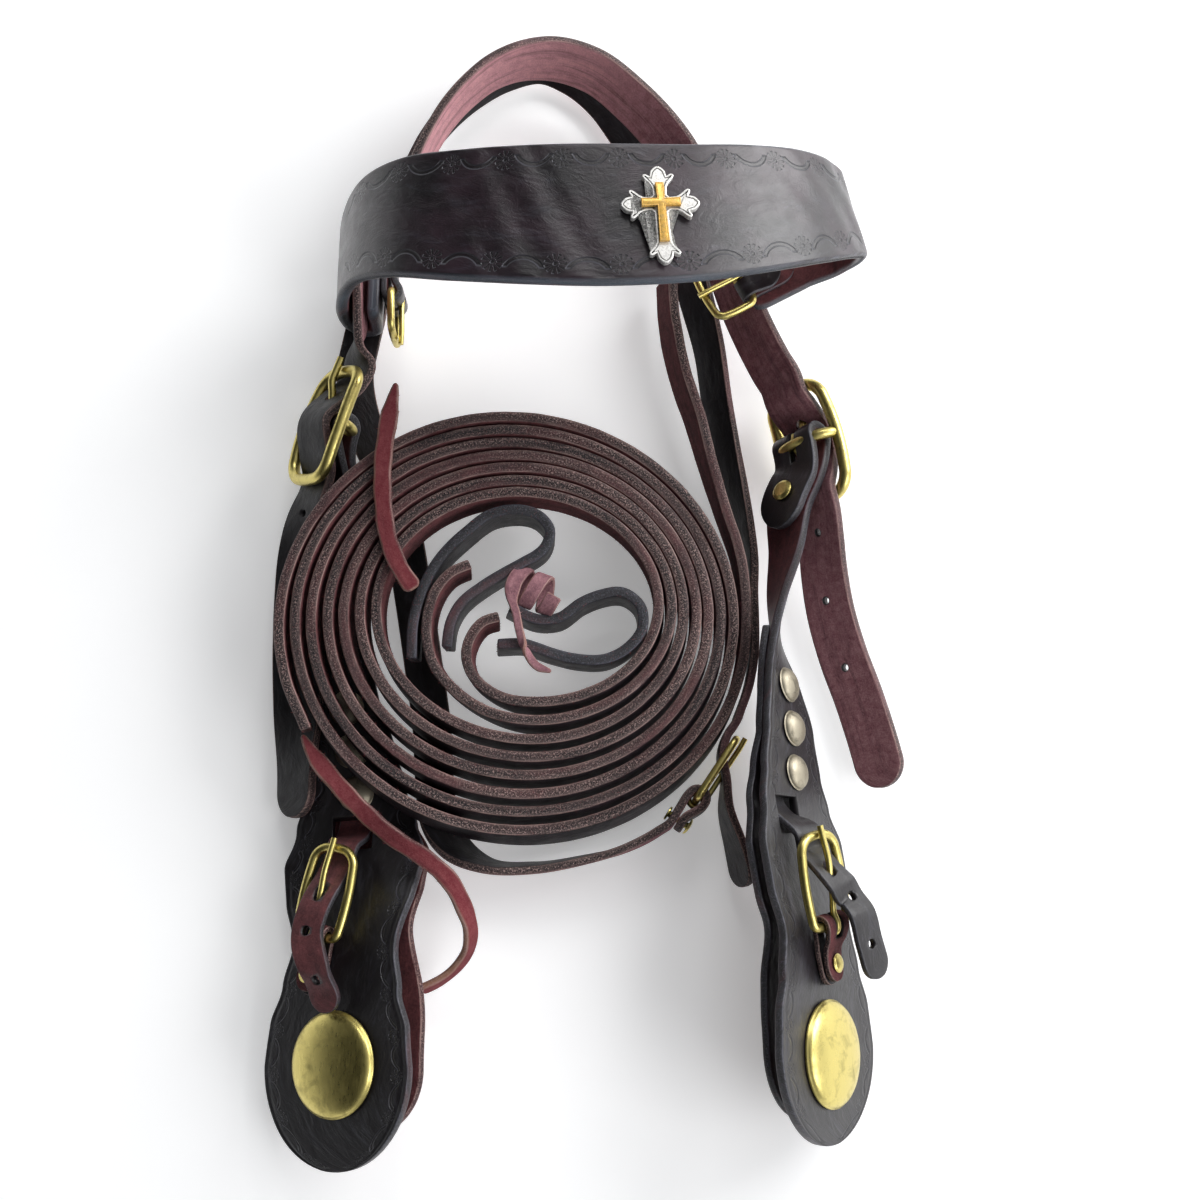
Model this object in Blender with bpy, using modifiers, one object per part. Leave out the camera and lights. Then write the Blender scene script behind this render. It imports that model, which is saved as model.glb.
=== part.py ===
"""Western headstall with its coiled reins, laid out on a table.

Sizes are in millimetres and become metres where a mesh is made. X runs to the right, Y away
from the viewer and Z up. A strap is a route of stations (x, y, z, lean): lean is the turn of
its width about its own length, 0 lying flat and 90 standing on edge.
"""
import math
from collections import namedtuple

import bmesh
import bpy
from mathutils import Matrix, Vector

MM = 0.001
UP = Vector((0, 0, 1))
ALONG_Y = Vector((0, 1, 0))

# Moves the whole layout so that the middle of its bounds is at the origin, at height 0
LAYOUT = Vector((-0.08, -9.64, 2.69))

# Clearances
GAP = 0.3
SLOT_GAP = 0.5
HOLE_PLAY = 1.0

# Leather sizes
CROWN_WIDTH = 19.0
CROWN_THICK = 3.5
THROAT_WIDTH = 14.0
THROAT_THICK = 3.0
BROW_WIDTH = 51.0
BROW_END_WIDTH = 24.0
BROW_THICK = 4.5
BROW_CHAPE_WIDTH = 17.0
BROW_CHAPE_THICK = 2.4
FRONT_THICK = 3.2
LINING_THICK = 2.8
FOLD_WIDTH = 19.4
FLAP_LENGTH = 34.0
CHEEK_SCREW_AT = 21.0
BILLET_WIDTH = 12.2
BILLET_THICK = 2.2
CHAPE_WIDTH = 10.4
CHAPE_THICK = 2.0
REIN_WIDTH = 16.0
REIN_THICK = 3.8
LACE_WIDTH = 7.0
LACE_THICK = 2.6
KNOT_RADIUS = 1.9
POCKET = 7.0

# Metal sizes
CART_LENGTH = 43.0
CART_WIRE = 2.2
CART_BAR = 2.0
CART_BOW = 3.5
CART_TONGUE = 1.4
BIT_LENGTH = 30.0
BIT_WIRE = 1.6
BIT_RISE = 1.2
BIT_TONGUE = 1.1
BROW_BUCKLE_LENGTH = 15.0
BROW_WIRE = 1.4
BROW_TONGUE = 1.0
THROAT_LENGTH = 25.0
THROAT_WIRE = 1.4
THROAT_TONGUE = 1.0
CONCHO_RADIUS = 17.8
CONCHO_HEIGHT = 5.0
CONCHO_WALL = 1.4
CONCHO_POST = 2.8
CONCHO_SCREW = 1.5
SPOT_RADIUS = 6.35
SPOT_HEIGHT = 3.2
SPOT_POST = 1.2
SPOT_PITCH = 15.7
SCREW_HEAD = 4.0
SCREW_POST = 2.2
RIVET_HEAD = 3.2
RIVET_POST = 1.2
TAIL_HOLE = 2.2
TAIL_PITCH = 25.4
CROSS_HEIGHT = 35.0
CROSS_WIDTH = 26.0
CROSS_THICK = 2.0
OVERLAY_THICK = 1.2

# Places along a cheek, measured down from the buckle bar
SPOT_FIRST = 91.0
SLOT_AT = 141.0
BIT_FAR_BAR = 145.0
CHAPE_RIVET = 13.0
CONCHO_AT = 217.0
CHEEK_LENGTH = 248.0
LOBE_HALF = 31.6
LINING_START = 70.0
LINING_END = 239.0

# How far apart stations may lie, and how far a strap may turn between them
MAX_STEP = 14.0
MAX_TURN = math.radians(14)

Frame = namedtuple("Frame", "p t w n s")


# Scene and materials

def clear_scene():
    for item in list(bpy.data.objects):
        bpy.data.objects.remove(item, do_unlink=True)


def collection(name):
    found = bpy.data.collections.new(name)
    bpy.context.scene.collection.children.link(found)
    return found


clear_scene()
PARTS = collection("headstall")
CUTTERS = collection("cutters")


def finish(name, color, roughness, metallic):
    """One Principled material for one node."""
    made = bpy.data.materials.new(name + "_finish")
    made.use_nodes = True
    shader = made.node_tree.nodes["Principled BSDF"]
    shader.inputs["Base Color"].default_value = (*color, 1)
    shader.inputs["Roughness"].default_value = roughness
    shader.inputs["Metallic"].default_value = metallic
    made.diffuse_color = (*color, 1)
    return made


LOOKS = {
    "tooled": ((0.028, 0.020, 0.023), 0.38, 0.0),
    "black": ((0.012, 0.010, 0.012), 0.35, 0.0),
    "flesh": ((0.160, 0.052, 0.062), 0.85, 0.0),
    "rein": ((0.075, 0.040, 0.042), 0.75, 0.0),
    "lace": ((0.340, 0.085, 0.095), 0.9, 0.0),
    "brass": ((0.620, 0.470, 0.140), 0.25, 1.0),
    "nickel": ((0.680, 0.660, 0.520), 0.3, 1.0),
    "silver": ((0.780, 0.780, 0.750), 0.25, 1.0),
}


def add(name, data, look, matrix=None, home=PARTS):
    """Put a mesh or curve in the scene as one named node."""
    made = bpy.data.objects.new(name, data)
    home.objects.link(made)
    if look:
        made.data.materials.append(finish(name, *LOOKS[look]))
    if matrix is not None:
        made.matrix_world = matrix
    if home is CUTTERS:
        made.hide_render = True
        made.display_type = "WIRE"
    return made


def in_metres(point):
    """A place in the layout, in metres from the middle of the object's foot."""
    return (Vector(point) + LAYOUT) * MM


# Strap frames

def blend_rows(rows, step):
    """Smooth rows of numbers through the given ones; the first three are a place."""
    count = len(rows)
    chord = [math.dist(rows[i][:3], rows[i + 1][:3]) for i in range(count - 1)]
    slope = [[(b - a) / chord[i] for a, b in zip(rows[i], rows[i + 1])] for i in range(count - 1)]
    speed = [slope[0]]
    for i in range(1, count - 1):
        near, far = chord[i - 1], chord[i]
        speed.append([(a * far + b * near) / (near + far) for a, b in zip(slope[i - 1], slope[i])])
    speed.append(slope[-1])
    out = []
    for i in range(count - 1):
        pieces = max(1, math.ceil(chord[i] / step))
        for k in range(pieces):
            f = k / pieces
            h00 = 2 * f ** 3 - 3 * f ** 2 + 1
            h10 = f ** 3 - 2 * f ** 2 + f
            h01 = 3 * f ** 2 - 2 * f ** 3
            h11 = f ** 3 - f ** 2
            out.append([h00 * a + h10 * chord[i] * u + h01 * b + h11 * chord[i] * v
                        for a, u, b, v in zip(rows[i], speed[i], rows[i + 1], speed[i + 1])])
    out.append(list(rows[-1]))
    return out


def frames_from(points, widths):
    """Frames along points, each with its width direction squared to the travel."""
    frames = []
    run = 0.0
    for i, point in enumerate(points):
        ahead = points[min(i + 1, len(points) - 1)]
        behind = points[max(i - 1, 0)]
        travel = (ahead - behind).normalized()
        wide = (widths[i] - travel * widths[i].dot(travel)).normalized()
        if i:
            run += (point - points[i - 1]).length
        frames.append(Frame(point, travel, wide, travel.cross(wide), run))
    return frames


def strap_frames(stations, ref=UP, step=2.0):
    """Frames along a route of (x, y, z, lean) stations."""
    rows = blend_rows(stations, step)
    points = [Vector(row[:3]) for row in rows]
    widths = []
    for i, row in enumerate(rows):
        travel = (points[min(i + 1, len(rows) - 1)] - points[max(i - 1, 0)]).normalized()
        side = ref.cross(travel).normalized()
        lean = math.radians(row[3])
        widths.append(side * math.cos(lean) + travel.cross(side) * math.sin(lean))
    return frames_from(points, widths)


def frame_at(frames, s):
    """The frame at a distance along the strap."""
    s = min(max(s, frames[0].s), frames[-1].s)
    for a, b in zip(frames, frames[1:]):
        if s <= b.s:
            f = (s - a.s) / max(b.s - a.s, 1e-9)
            travel = a.t.lerp(b.t, f).normalized()
            wide = a.w.lerp(b.w, f)
            wide = (wide - travel * wide.dot(travel)).normalized()
            return Frame(a.p.lerp(b.p, f), travel, wide, travel.cross(wide), s)
    return frames[-1]


def sparse(frames, keep=()):
    """Fewer frames: one where the strap has turned or run far enough, and at each s in keep."""
    wanted = [frames[0].s]
    last = frames[0]
    for frame in frames[1:]:
        turn = max(frame.t.angle(last.t), frame.w.angle(last.w))
        if turn > MAX_TURN or frame.s - last.s > MAX_STEP:
            wanted.append(frame.s)
            last = frame
    wanted.append(frames[-1].s)
    for s in keep:
        wanted = [w for w in wanted if abs(w - s) > 0.8 or w in keep] + [s]
    return [frame_at(frames, s) for s in sorted(set(wanted))]


def place(frame, a=0.0, v=0.0, n=0.0):
    """A point near a frame: a along the strap, v across it and n above its middle."""
    return frame.p + frame.t * a + frame.w * v + frame.n * n


def matrix_of(frame, v=0.0, n=0.0):
    """World matrix with X along the strap, Y across it and Z out of its face."""
    rotation = Matrix((frame.t, frame.w, frame.n)).transposed().to_4x4()
    return Matrix.Translation(in_metres(place(frame, 0, v, n))) @ rotation


# Leather

def round_end(half, s, start, end):
    """Half width near an end that is cut round."""
    room = min(s - start, end - s)
    if room >= half:
        return half
    room = max(room, 0.02 * half)
    return math.sqrt(half ** 2 - (half - room) ** 2)


def end_marks(half, start, end, round_start, round_end_too):
    """Where a round end needs stations."""
    shares = (0.04, 0.18, 0.45, 1.0)
    marks = [start + half * share for share in shares] if round_start else []
    if round_end_too:
        marks += [end - half * share for share in shares]
    return marks


def ribbon(name, frames, half, thick, look, columns=2, home=PARTS):
    """A strap: an open sheet along the frames, given its thickness by Solidify."""
    mesh = bpy.data.meshes.new(name)
    verts = []
    for frame in frames:
        for c in range(columns):
            share = 2 * c / (columns - 1) - 1
            verts.append(in_metres(place(frame, 0, half(frame.s) * share)))
    faces = []
    for i in range(len(frames) - 1):
        for c in range(columns - 1):
            k = i * columns + c
            faces.append((k, k + columns, k + columns + 1, k + 1))
    mesh.from_pydata(verts, [], faces)
    made = add(name, mesh, look, home=home)
    wall = made.modifiers.new("thickness", "SOLIDIFY")
    wall.thickness = thick * MM
    wall.offset = 0
    return made


def plain_strap(name, frames, width, thick, look, round_start=True, round_tail=True, keep=()):
    """A strap of one width, cut round at its free ends."""
    start, end = frames[0].s, frames[-1].s
    marks = end_marks(width / 2, start, end, round_start, round_tail)
    first = start if round_start else start - width
    last = end if round_tail else end + width
    thin = sparse(frames, tuple(marks) + tuple(keep))
    return ribbon(name, thin, lambda s: round_end(width / 2, s, first, last), thick, look)


def cut(target, cutter):
    """Take the cutter out of the target."""
    step = target.modifiers.new("cut", "BOOLEAN")
    step.operation = "DIFFERENCE"
    step.solver = "EXACT"
    step.object = cutter


def drill(target, frame, radius, reach, v=0.0, stretch=1.0, sides=12):
    """A hole through a strap along its face normal."""
    made = bmesh.new()
    bmesh.ops.create_cone(made, cap_ends=True, segments=sides, radius1=radius * MM,
                          radius2=radius * MM, depth=2 * reach * MM)
    bmesh.ops.scale(made, vec=(stretch, 1, 1), verts=made.verts)
    mesh = bpy.data.meshes.new("drill")
    made.to_mesh(mesh)
    made.free()
    cut(target, add("drill", mesh, None, matrix_of(frame, v), CUTTERS))


def pierce(target, points, radius):
    """A punched hole that follows the tongue through the strap, with play for its swing."""
    cut(target, welded(wire("pierce", points, radius + HOLE_PLAY, None, home=CUTTERS)))


def mortise(target, matrix, low, high):
    """A box cut, given by two corners in millimetres in the matrix's own frame."""
    made = bmesh.new()
    bmesh.ops.create_cube(made, size=1)
    size = [b - a for a, b in zip(low, high)]
    middle = [(a + b) / 2 for a, b in zip(low, high)]
    bmesh.ops.scale(made, vec=[MM * value for value in size], verts=made.verts)
    bmesh.ops.translate(made, vec=[MM * value for value in middle], verts=made.verts)
    mesh = bpy.data.meshes.new("mortise")
    made.to_mesh(mesh)
    made.free()
    cut(target, add("mortise", mesh, None, matrix, CUTTERS))


# Metal

def wire(name, points, radius, look, cyclic=False, rounds=1, home=PARTS):
    """A round wire or rod along points, with filled caps."""
    curve = bpy.data.curves.new(name, "CURVE")
    curve.dimensions = "3D"
    curve.bevel_depth = radius * MM
    curve.bevel_resolution = rounds
    curve.use_fill_caps = not cyclic
    line = curve.splines.new("POLY")
    line.points.add(len(points) - 1)
    for item, point in zip(line.points, points):
        item.co = (*in_metres(point), 1)
    line.use_cyclic_u = cyclic
    return add(name, curve, look, home=home)


def welded(source, name=None):
    """A curve turned into a closed mesh object."""
    bpy.context.view_layer.update()
    graph = bpy.context.evaluated_depsgraph_get()
    mesh = bpy.data.meshes.new_from_object(source.evaluated_get(graph))
    name = name or source.name
    made = bmesh.new()
    made.from_mesh(mesh)
    bmesh.ops.remove_doubles(made, verts=made.verts, dist=1e-6)
    bmesh.ops.recalc_face_normals(made, faces=made.faces)
    made.to_mesh(mesh)
    made.free()
    matrix = source.matrix_world.copy()
    home = source.users_collection[0]
    bpy.data.objects.remove(source, do_unlink=True)
    fresh = add(name, mesh, None, matrix, home)
    fresh.name = name
    return fresh


def turned(name, profile, matrix, look, steps=16):
    """A turned piece: (radius, height) points from the top down its outer side."""
    mesh = bpy.data.meshes.new(name)
    verts = [(radius * MM, 0, height * MM) for radius, height in profile]
    mesh.from_pydata(verts, [(i, i + 1) for i in range(len(verts) - 1)], [])
    made = add(name, mesh, look, matrix)
    spin = made.modifiers.new("spin", "SCREW")
    spin.angle = math.tau
    spin.steps = steps
    spin.render_steps = steps
    spin.use_merge_vertices = True
    spin.merge_threshold = 0.00001
    spin.use_smooth_shade = True
    return made


# Buckles

def buckle_matrix(bar, far, normal):
    """Frame of a buckle: origin on its bar, X to the far bar and Z out of its face."""
    ahead = Vector(far).normalized()
    out = Vector(normal)
    out = (out - ahead * out.dot(ahead)).normalized()
    return Matrix.Translation(Vector(bar)) @ Matrix((ahead, out.cross(ahead), out)).transposed().to_4x4()


def local(matrix, a, v, n):
    return matrix @ Vector((a, v, n))


def loop_outline(length, half, near_corner, far_corner, rise, bow):
    """Points round a wire frame: a bar at 0, round corners and a far bar at length."""
    points = []
    for side in (1, -1):
        corners = ((near_corner, near_corner, math.pi, math.pi / 2),
                   (length - far_corner, far_corner, math.pi / 2, 0))
        if side < 0:
            corners = tuple((x, r, b, a) for x, r, a, b in reversed(corners))
        for middle, corner, first, last in corners:
            count = 4 if corner > 3 else 3
            for k in range(count):
                angle = first + (last - first) * k / (count - 1)
                a = middle + corner * math.cos(angle)
                v = side * (half - corner + corner * math.sin(angle))
                points.append((a, v, rise * a / length + bow * math.sin(math.pi * a / length)))
    return points


def heel_buckle(name, matrix, length, half, radius, rise=0.0, far_corner=None):
    """A wire buckle whose strap folds round one side of its frame."""
    outline = loop_outline(length, half + radius, 2.6, far_corner or 3.5, rise, 0.0)
    wire(name, [local(matrix, *point) for point in outline], radius, "brass", cyclic=True)


def tongue(name, matrix, bar, radius, crossing, far, far_height):
    """A tongue of wire bent round the bar, through the billet and onto the far bar."""
    eye = bar + GAP + radius + 0.05
    angles = [math.radians(angle) for angle in (-40, -80, -120, -160, -200, -240, -268)]
    points = [(eye * math.cos(angle), 0, eye * math.sin(angle)) for angle in angles]
    points += [(a, 0, n) for a, n in crossing]
    points += [(far - radius, 0, far_height), (far + 2.2 * radius, 0, far_height - 0.2)]
    points = [local(matrix, *point) for point in points]
    wire(name, points, radius, "brass")
    return points


def fold_frames(matrix, bend, thick, low_leg, high_leg, roll=0.0, drop=0.0):
    """Frames of a strap folded round a bar; its legs may turn and settle away from the bar."""
    low = -bend + thick + GAP + 0.15
    down = [4.0 * k for k in range(1, 9)]
    rows = [(-a, -bend) for a in reversed([a for a in down if a < low_leg] + [low_leg])]
    rows += [(bend * math.sin(angle), -bend * math.cos(angle))
             for angle in [math.radians(30 * k) for k in range(0, 7)]]
    for a in [a for a in down if a < high_leg - 1] + [high_leg]:
        share = min(a / (0.6 * high_leg), 1)
        rows.append((-a, bend + (low - bend) * share * share * (3 - 2 * share)))
    places = []
    across = []
    for a, n in rows:
        share = min(max(-a / 9.0, 0), 1)
        share = share * share * (3 - 2 * share)
        turned_back = matrix @ Matrix.Rotation(math.radians(-roll * share), 4, "X")
        places.append(local(turned_back, a, 0, n - drop * share))
        across.append(turned_back.to_3x3() @ Vector((0, 1, 0)))
    rows = blend_rows([(*point, *wide) for point, wide in zip(places, across)], 0.9)
    return frames_from([Vector(row[:3]) for row in rows], [Vector(row[3:]) for row in rows])


def nearest(frames, point):
    return min(frames, key=lambda frame: (frame.p - point).length)


# Cheeks

HALF_WIDTHS = ((0, 9.7), (60, 9.9), (78, 10.8), (91, 12.0), (107, 15.0), (122, 18.0), (134, 21.5),
               (148, 26.4), (160, 26.2), (176, 22.6), (190, 25.6), (203, 30.0), (215, LOBE_HALF))


def lookup(pairs, s):
    """A smooth value between named pairs."""
    if s <= pairs[0][0]:
        return pairs[0][1]
    for (a, low), (b, high) in zip(pairs, pairs[1:]):
        if s <= b:
            f = (s - a) / (b - a)
            f = f * f * (3 - 2 * f) if abs(high - low) > 2.5 else f
            return low + (high - low) * f
    return pairs[-1][1]


def cheek_half(s):
    """Half width of a cheek: strap, shoulder, waist, lobe and round tip."""
    widest = HALF_WIDTHS[-1][0]
    if s <= widest:
        return lookup(HALF_WIDTHS, s)
    reach = CHEEK_LENGTH - widest
    share = min((s - widest) / reach, 0.998)
    return LOBE_HALF * math.sqrt(1 - share ** 2)


def lining_half(s, last):
    """Half width of the back layer: no wider than the face, with a round end."""
    body = min(cheek_half(s) - 0.6, 25.5)
    if s < 176:
        return body
    body = lookup(((176, 22.0), (205, 25.5), (243, 25.5)), s)
    reach = 24.0
    if s > last - reach:
        body *= math.sqrt(1 - min((s - last + reach) / reach, 0.998) ** 2)
    return body


LINING_SHIFT = ((0, 0.0), (150, 0.0), (200, 3.0), (243, 3.0))
UNDER_BILLET = FRONT_THICK / 2 + BILLET_THICK + 2 * GAP + LINING_THICK / 2
BEHIND = FRONT_THICK / 2 + GAP + 0.1 + LINING_THICK / 2
POCKET_DEPTH = FRONT_THICK / 2 + POCKET + LINING_THICK / 2
LINING_DEPTH = ((0, BEHIND), (110, BEHIND), (128, UNDER_BILLET), (168, UNDER_BILLET),
                (192, POCKET_DEPTH), (243, POCKET_DEPTH))

FOLD_BEND = CART_BAR + GAP + 0.45 + FRONT_THICK / 2
LEAVE = math.radians(33)

Cheek = namedtuple("Cheek", "side bar down tilt out late longer stations seat tail")

CHEEKS = {
    "right": Cheek("right", Vector((79.2, 54, 18)), Vector((0.25, -0.968, 0)), -40, -1, 0.0, 0.0,
                   ((74.2, 30, 20.0, -132), (72.4, 14, 20.2, -117), (69.2, -2.6, 19.6, -100),
                    (68.2, -19, 20.2, -80), (69.9, -35, 21.8, -59), (71.4, -50, 23.4, -53),
                    (71.8, -66, 25.2, -53), (73.2, -82, 27.0, -54), (75.6, -98, 27.9, -54),
                    (77.8, -114, 28.0, -54), (79.3, -130, 28.0, -54), (80.4, -146, 28.2, -54),
                    (81.0, -163, 28.5, -54), (80.8, -181, 28.5, -54), (79.8, -201, 28.2, -54)),
                   (-2.4, 9.0, -14.0, 1.6),
                   ((92.2, -114, 38.6), (95.0, -124, 37.2), (98.6, -136, 34.0))),
    "left": Cheek("left", Vector((-92.2, 60.5, 17)), Vector((-0.30, -0.953, 0)), 40, 1, 11.8, 3.7,
                  ((-92.6, 28, 9.8, 28), (-92.0, 12, 7.0, 10), (-90.8, -4, 5.4, 1),
                   (-88.6, -22, 5.2, 0), (-85.8, -42, 5.2, 0), (-83.2, -58, 5.2, 0),
                   (-81.4, -73, 5.6, 0), (-80.8, -84, 7.6, 3), (-80.4, -94, 11.6, 13),
                   (-80.8, -104, 15.6, 23), (-81.4, -114, 18.6, 30), (-82.0, -127, 20.6, 32),
                   (-82.8, -145, 21.4, 32), (-83.2, -164, 21.8, 32), (-82.6, -182, 21.8, 32),
                   (-80.6, -203, 21.6, 32)),
                  (-7.0, -12.0, 6.0, 1.2),
                  ((-90.0, -134, 30.5), (-87.5, -140, 28.8), (-85.6, -147.5, 27.6))),
}


def cheek_bar(cheek):
    """Frame of the large buckle: X from the bar up the strap, Z to the outer side."""
    tilt = math.radians(cheek.tilt)
    outward = cheek.down.cross(UP) * cheek.out * math.cos(tilt) + UP * math.sin(tilt)
    return buckle_matrix(cheek.bar, -cheek.down, outward)


def cheek_paths(cheek):
    """Main leg from the bar to the tip, and the whole face layer with its fold and flap."""
    bar = cheek_bar(cheek)
    start = [local(bar, -FOLD_BEND * math.sin(LEAVE), 0, FOLD_BEND * math.cos(LEAVE))]
    start.append(start[0] + (local(bar, -math.cos(LEAVE), 0, -math.sin(LEAVE)) - cheek.bar) * 6)
    lean = (90 - cheek.tilt) * cheek.out
    rows = [(*start[0], lean), (*start[1], lean)] + list(cheek.stations)
    main = strap_frames(rows)
    axis = bar.to_3x3() @ ALONG_Y
    axis = axis if axis.dot(main[0].w) > 0 else -axis
    main = frames_from([f.p for f in main], [axis.lerp(f.w, min(f.s / 14, 1)) for f in main])
    main = [frame for frame in main if frame.s <= CHEEK_LENGTH + cheek.late + cheek.longer]
    back = FRONT_THICK + GAP + 0.45
    flap = []
    for frame in reversed([f for f in main if 12 < f.s < FLAP_LENGTH]):
        flap.append((frame.p - frame.n * back, frame.w))
    for degrees in (192, 160, 130, 100, 70, 40, 10, -15):
        angle = math.radians(degrees)
        point = local(bar, FOLD_BEND * math.sin(angle), 0, FOLD_BEND * math.cos(angle))
        flap.append((point, main[0].w))
    flap += [(frame.p, frame.w) for frame in main]
    rows = blend_rows([(*point, *wide) for point, wide in flap], 1.6)
    whole = frames_from([Vector(row[:3]) for row in rows], [Vector(row[3:]) for row in rows])
    return main, whole


def offset_frames(frames, depth, shift):
    """Frames of a layer that lies behind another."""
    points = [place(f, 0, shift(f.s), -depth(f.s)) for f in frames]
    out = frames_from(points, [f.w for f in frames])
    return [f._replace(s=g.s) for f, g in zip(out, frames)]


def make_cheek(cheek):
    main, whole = cheek_paths(cheek)
    side = cheek.side
    late = cheek.late
    bar = cheek_bar(cheek)
    extra = whole[-1].s - main[-1].s
    tip = whole[-1].s
    stretch = (CHEEK_LENGTH + cheek.longer - 100) / (CHEEK_LENGTH - 100)

    def nominal(s):
        """Distance along the plain pattern; the left tab is a little longer."""
        s -= late
        return s if s < 100 else 100 + (s - 100) / stretch

    def half(s):
        if s > extra + 12:
            return cheek_half(nominal(s - extra))
        return round_end(FOLD_WIDTH / 2, s, 0, 1e4)

    last = late + LINING_END + cheek.longer
    stops = [late + s for s in (100, 116, 128, 138, 147, 156, 166, 176, 185, 194, 206)]
    stops += [last - room for room in (22, 18, 12, 7, 3, 1.0, 0.25, 0.0)] + [LINING_START]
    marks = end_marks(FOLD_WIDTH / 2, 0, tip, True, False)
    marks += [extra + s for s in stops] + [tip - room for room in (7.5, 3.2, 1.0, 0.25)]
    thin = sparse(whole, marks)
    face = ribbon("cheek_front_" + side, thin, half, FRONT_THICK, "tooled", 3)
    mortise(face, metre_matrix(bar), (-6.5, -CART_TONGUE - SLOT_GAP, -7.5),
            (8.5, CART_TONGUE + SLOT_GAP, 7.5))

    lining_path = offset_frames(main, lambda s: lookup(LINING_DEPTH, s - late),
                                lambda s: lookup(LINING_SHIFT, s - late))
    lined = [frame_at(lining_path, f.s - extra) for f in thin
             if LINING_START - 0.01 <= f.s - extra <= last + 0.01]
    lining = ribbon("cheek_lining_" + side, lined,
                    lambda s: lining_half(s - late, last - late), LINING_THICK,
                    "flesh" if side == "left" else "black", 3)

    make_spots(cheek, main, face, lining)
    make_concho(cheek, main, face, lining)
    make_cheek_screw(cheek, main, face)
    make_bit_buckle(cheek, main, face, lining)


def metre_matrix(matrix):
    """The same placing with its origin in metres."""
    out = matrix.copy()
    out.translation = in_metres(matrix.translation)
    return out


def make_spots(cheek, main, face, lining):
    """Three domed spots, each riveted through both layers."""
    top = FRONT_THICK / 2 + GAP + 0.15
    for k in range(3):
        at = SPOT_FIRST + k * SPOT_PITCH
        frame = frame_at(main, at + cheek.late)
        back = -(lookup(LINING_DEPTH, at) + LINING_THICK / 2 + GAP + 0.5)
        profile = [(0, top + SPOT_HEIGHT)]
        for degrees in (68, 44, 18):
            angle = math.radians(degrees)
            profile.append((SPOT_RADIUS * math.cos(angle), top + SPOT_HEIGHT * math.sin(angle)))
        profile += [(SPOT_RADIUS, top), (SPOT_POST, top), (SPOT_POST, back), (2.3, back)]
        profile += [(2.3, back - 0.8), (0, back - 0.8)]
        turned("spot_%s_%d" % (cheek.side, k + 1), profile, matrix_of(frame), "nickel", 10)
        for layer in (face, lining):
            drill(layer, frame, SPOT_POST + GAP, 12, sides=8)


def make_concho(cheek, main, face, lining):
    """A domed concho whose hollow post takes a screw from behind."""
    frame = frame_at(main, CONCHO_AT + cheek.late)
    top = FRONT_THICK / 2 + GAP
    back = -(POCKET_DEPTH - LINING_THICK / 2 - GAP)
    outer = [(CONCHO_RADIUS * math.cos(math.radians(d)),
              top + CONCHO_HEIGHT * math.sin(math.radians(d))) for d in (70, 48, 26, 8)]
    shrink = (CONCHO_RADIUS - CONCHO_WALL) / CONCHO_RADIUS
    inner = [(radius * shrink, top + (height - top) * 0.72) for radius, height in reversed(outer)]
    profile = [(0, top + CONCHO_HEIGHT)] + outer + [(CONCHO_RADIUS, top)]
    profile += [(CONCHO_RADIUS - CONCHO_WALL, top)] + inner[:-1]
    profile += [(CONCHO_POST, inner[-1][1]), (CONCHO_POST, back)]
    profile += [(CONCHO_SCREW + GAP, back), (CONCHO_SCREW + GAP, -1.0), (0, -1.0)]
    turned("concho_" + cheek.side, profile, matrix_of(frame), "brass", 20)
    head = -(POCKET_DEPTH + LINING_THICK / 2 + GAP)
    screw = [(0, -1.5), (CONCHO_SCREW, -1.5), (CONCHO_SCREW, head), (4.2, head)]
    screw += [(4.2, head - 0.7), (3.4, head - 1.4), (0, head - 1.4)]
    turned("concho_screw_" + cheek.side, screw, matrix_of(frame), "brass", 12)
    drill(face, frame, CONCHO_POST + GAP, 6)
    drill(lining, frame, CONCHO_SCREW + GAP, 14, sides=8)


def make_cheek_screw(cheek, main, face):
    """A Chicago screw that closes the fold below the large buckle."""
    frame = frame_at(main, CHEEK_SCREW_AT)
    top = FRONT_THICK / 2 + GAP + 0.45
    back = -(FRONT_THICK * 1.5 + 2 * GAP + 0.7)
    profile = [(0, top + 1.0), (2.8, top + 0.9), (SCREW_HEAD, top + 0.4), (SCREW_HEAD, top)]
    profile += [(SCREW_POST, top), (SCREW_POST, back), (SCREW_HEAD, back)]
    profile += [(SCREW_HEAD, back - 0.6), (2.8, back - 1.3), (0, back - 1.4)]
    turned("cheek_screw_" + cheek.side, profile, matrix_of(frame), "brass", 12)
    drill(face, frame, SCREW_POST + GAP, 8, sides=10)


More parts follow.
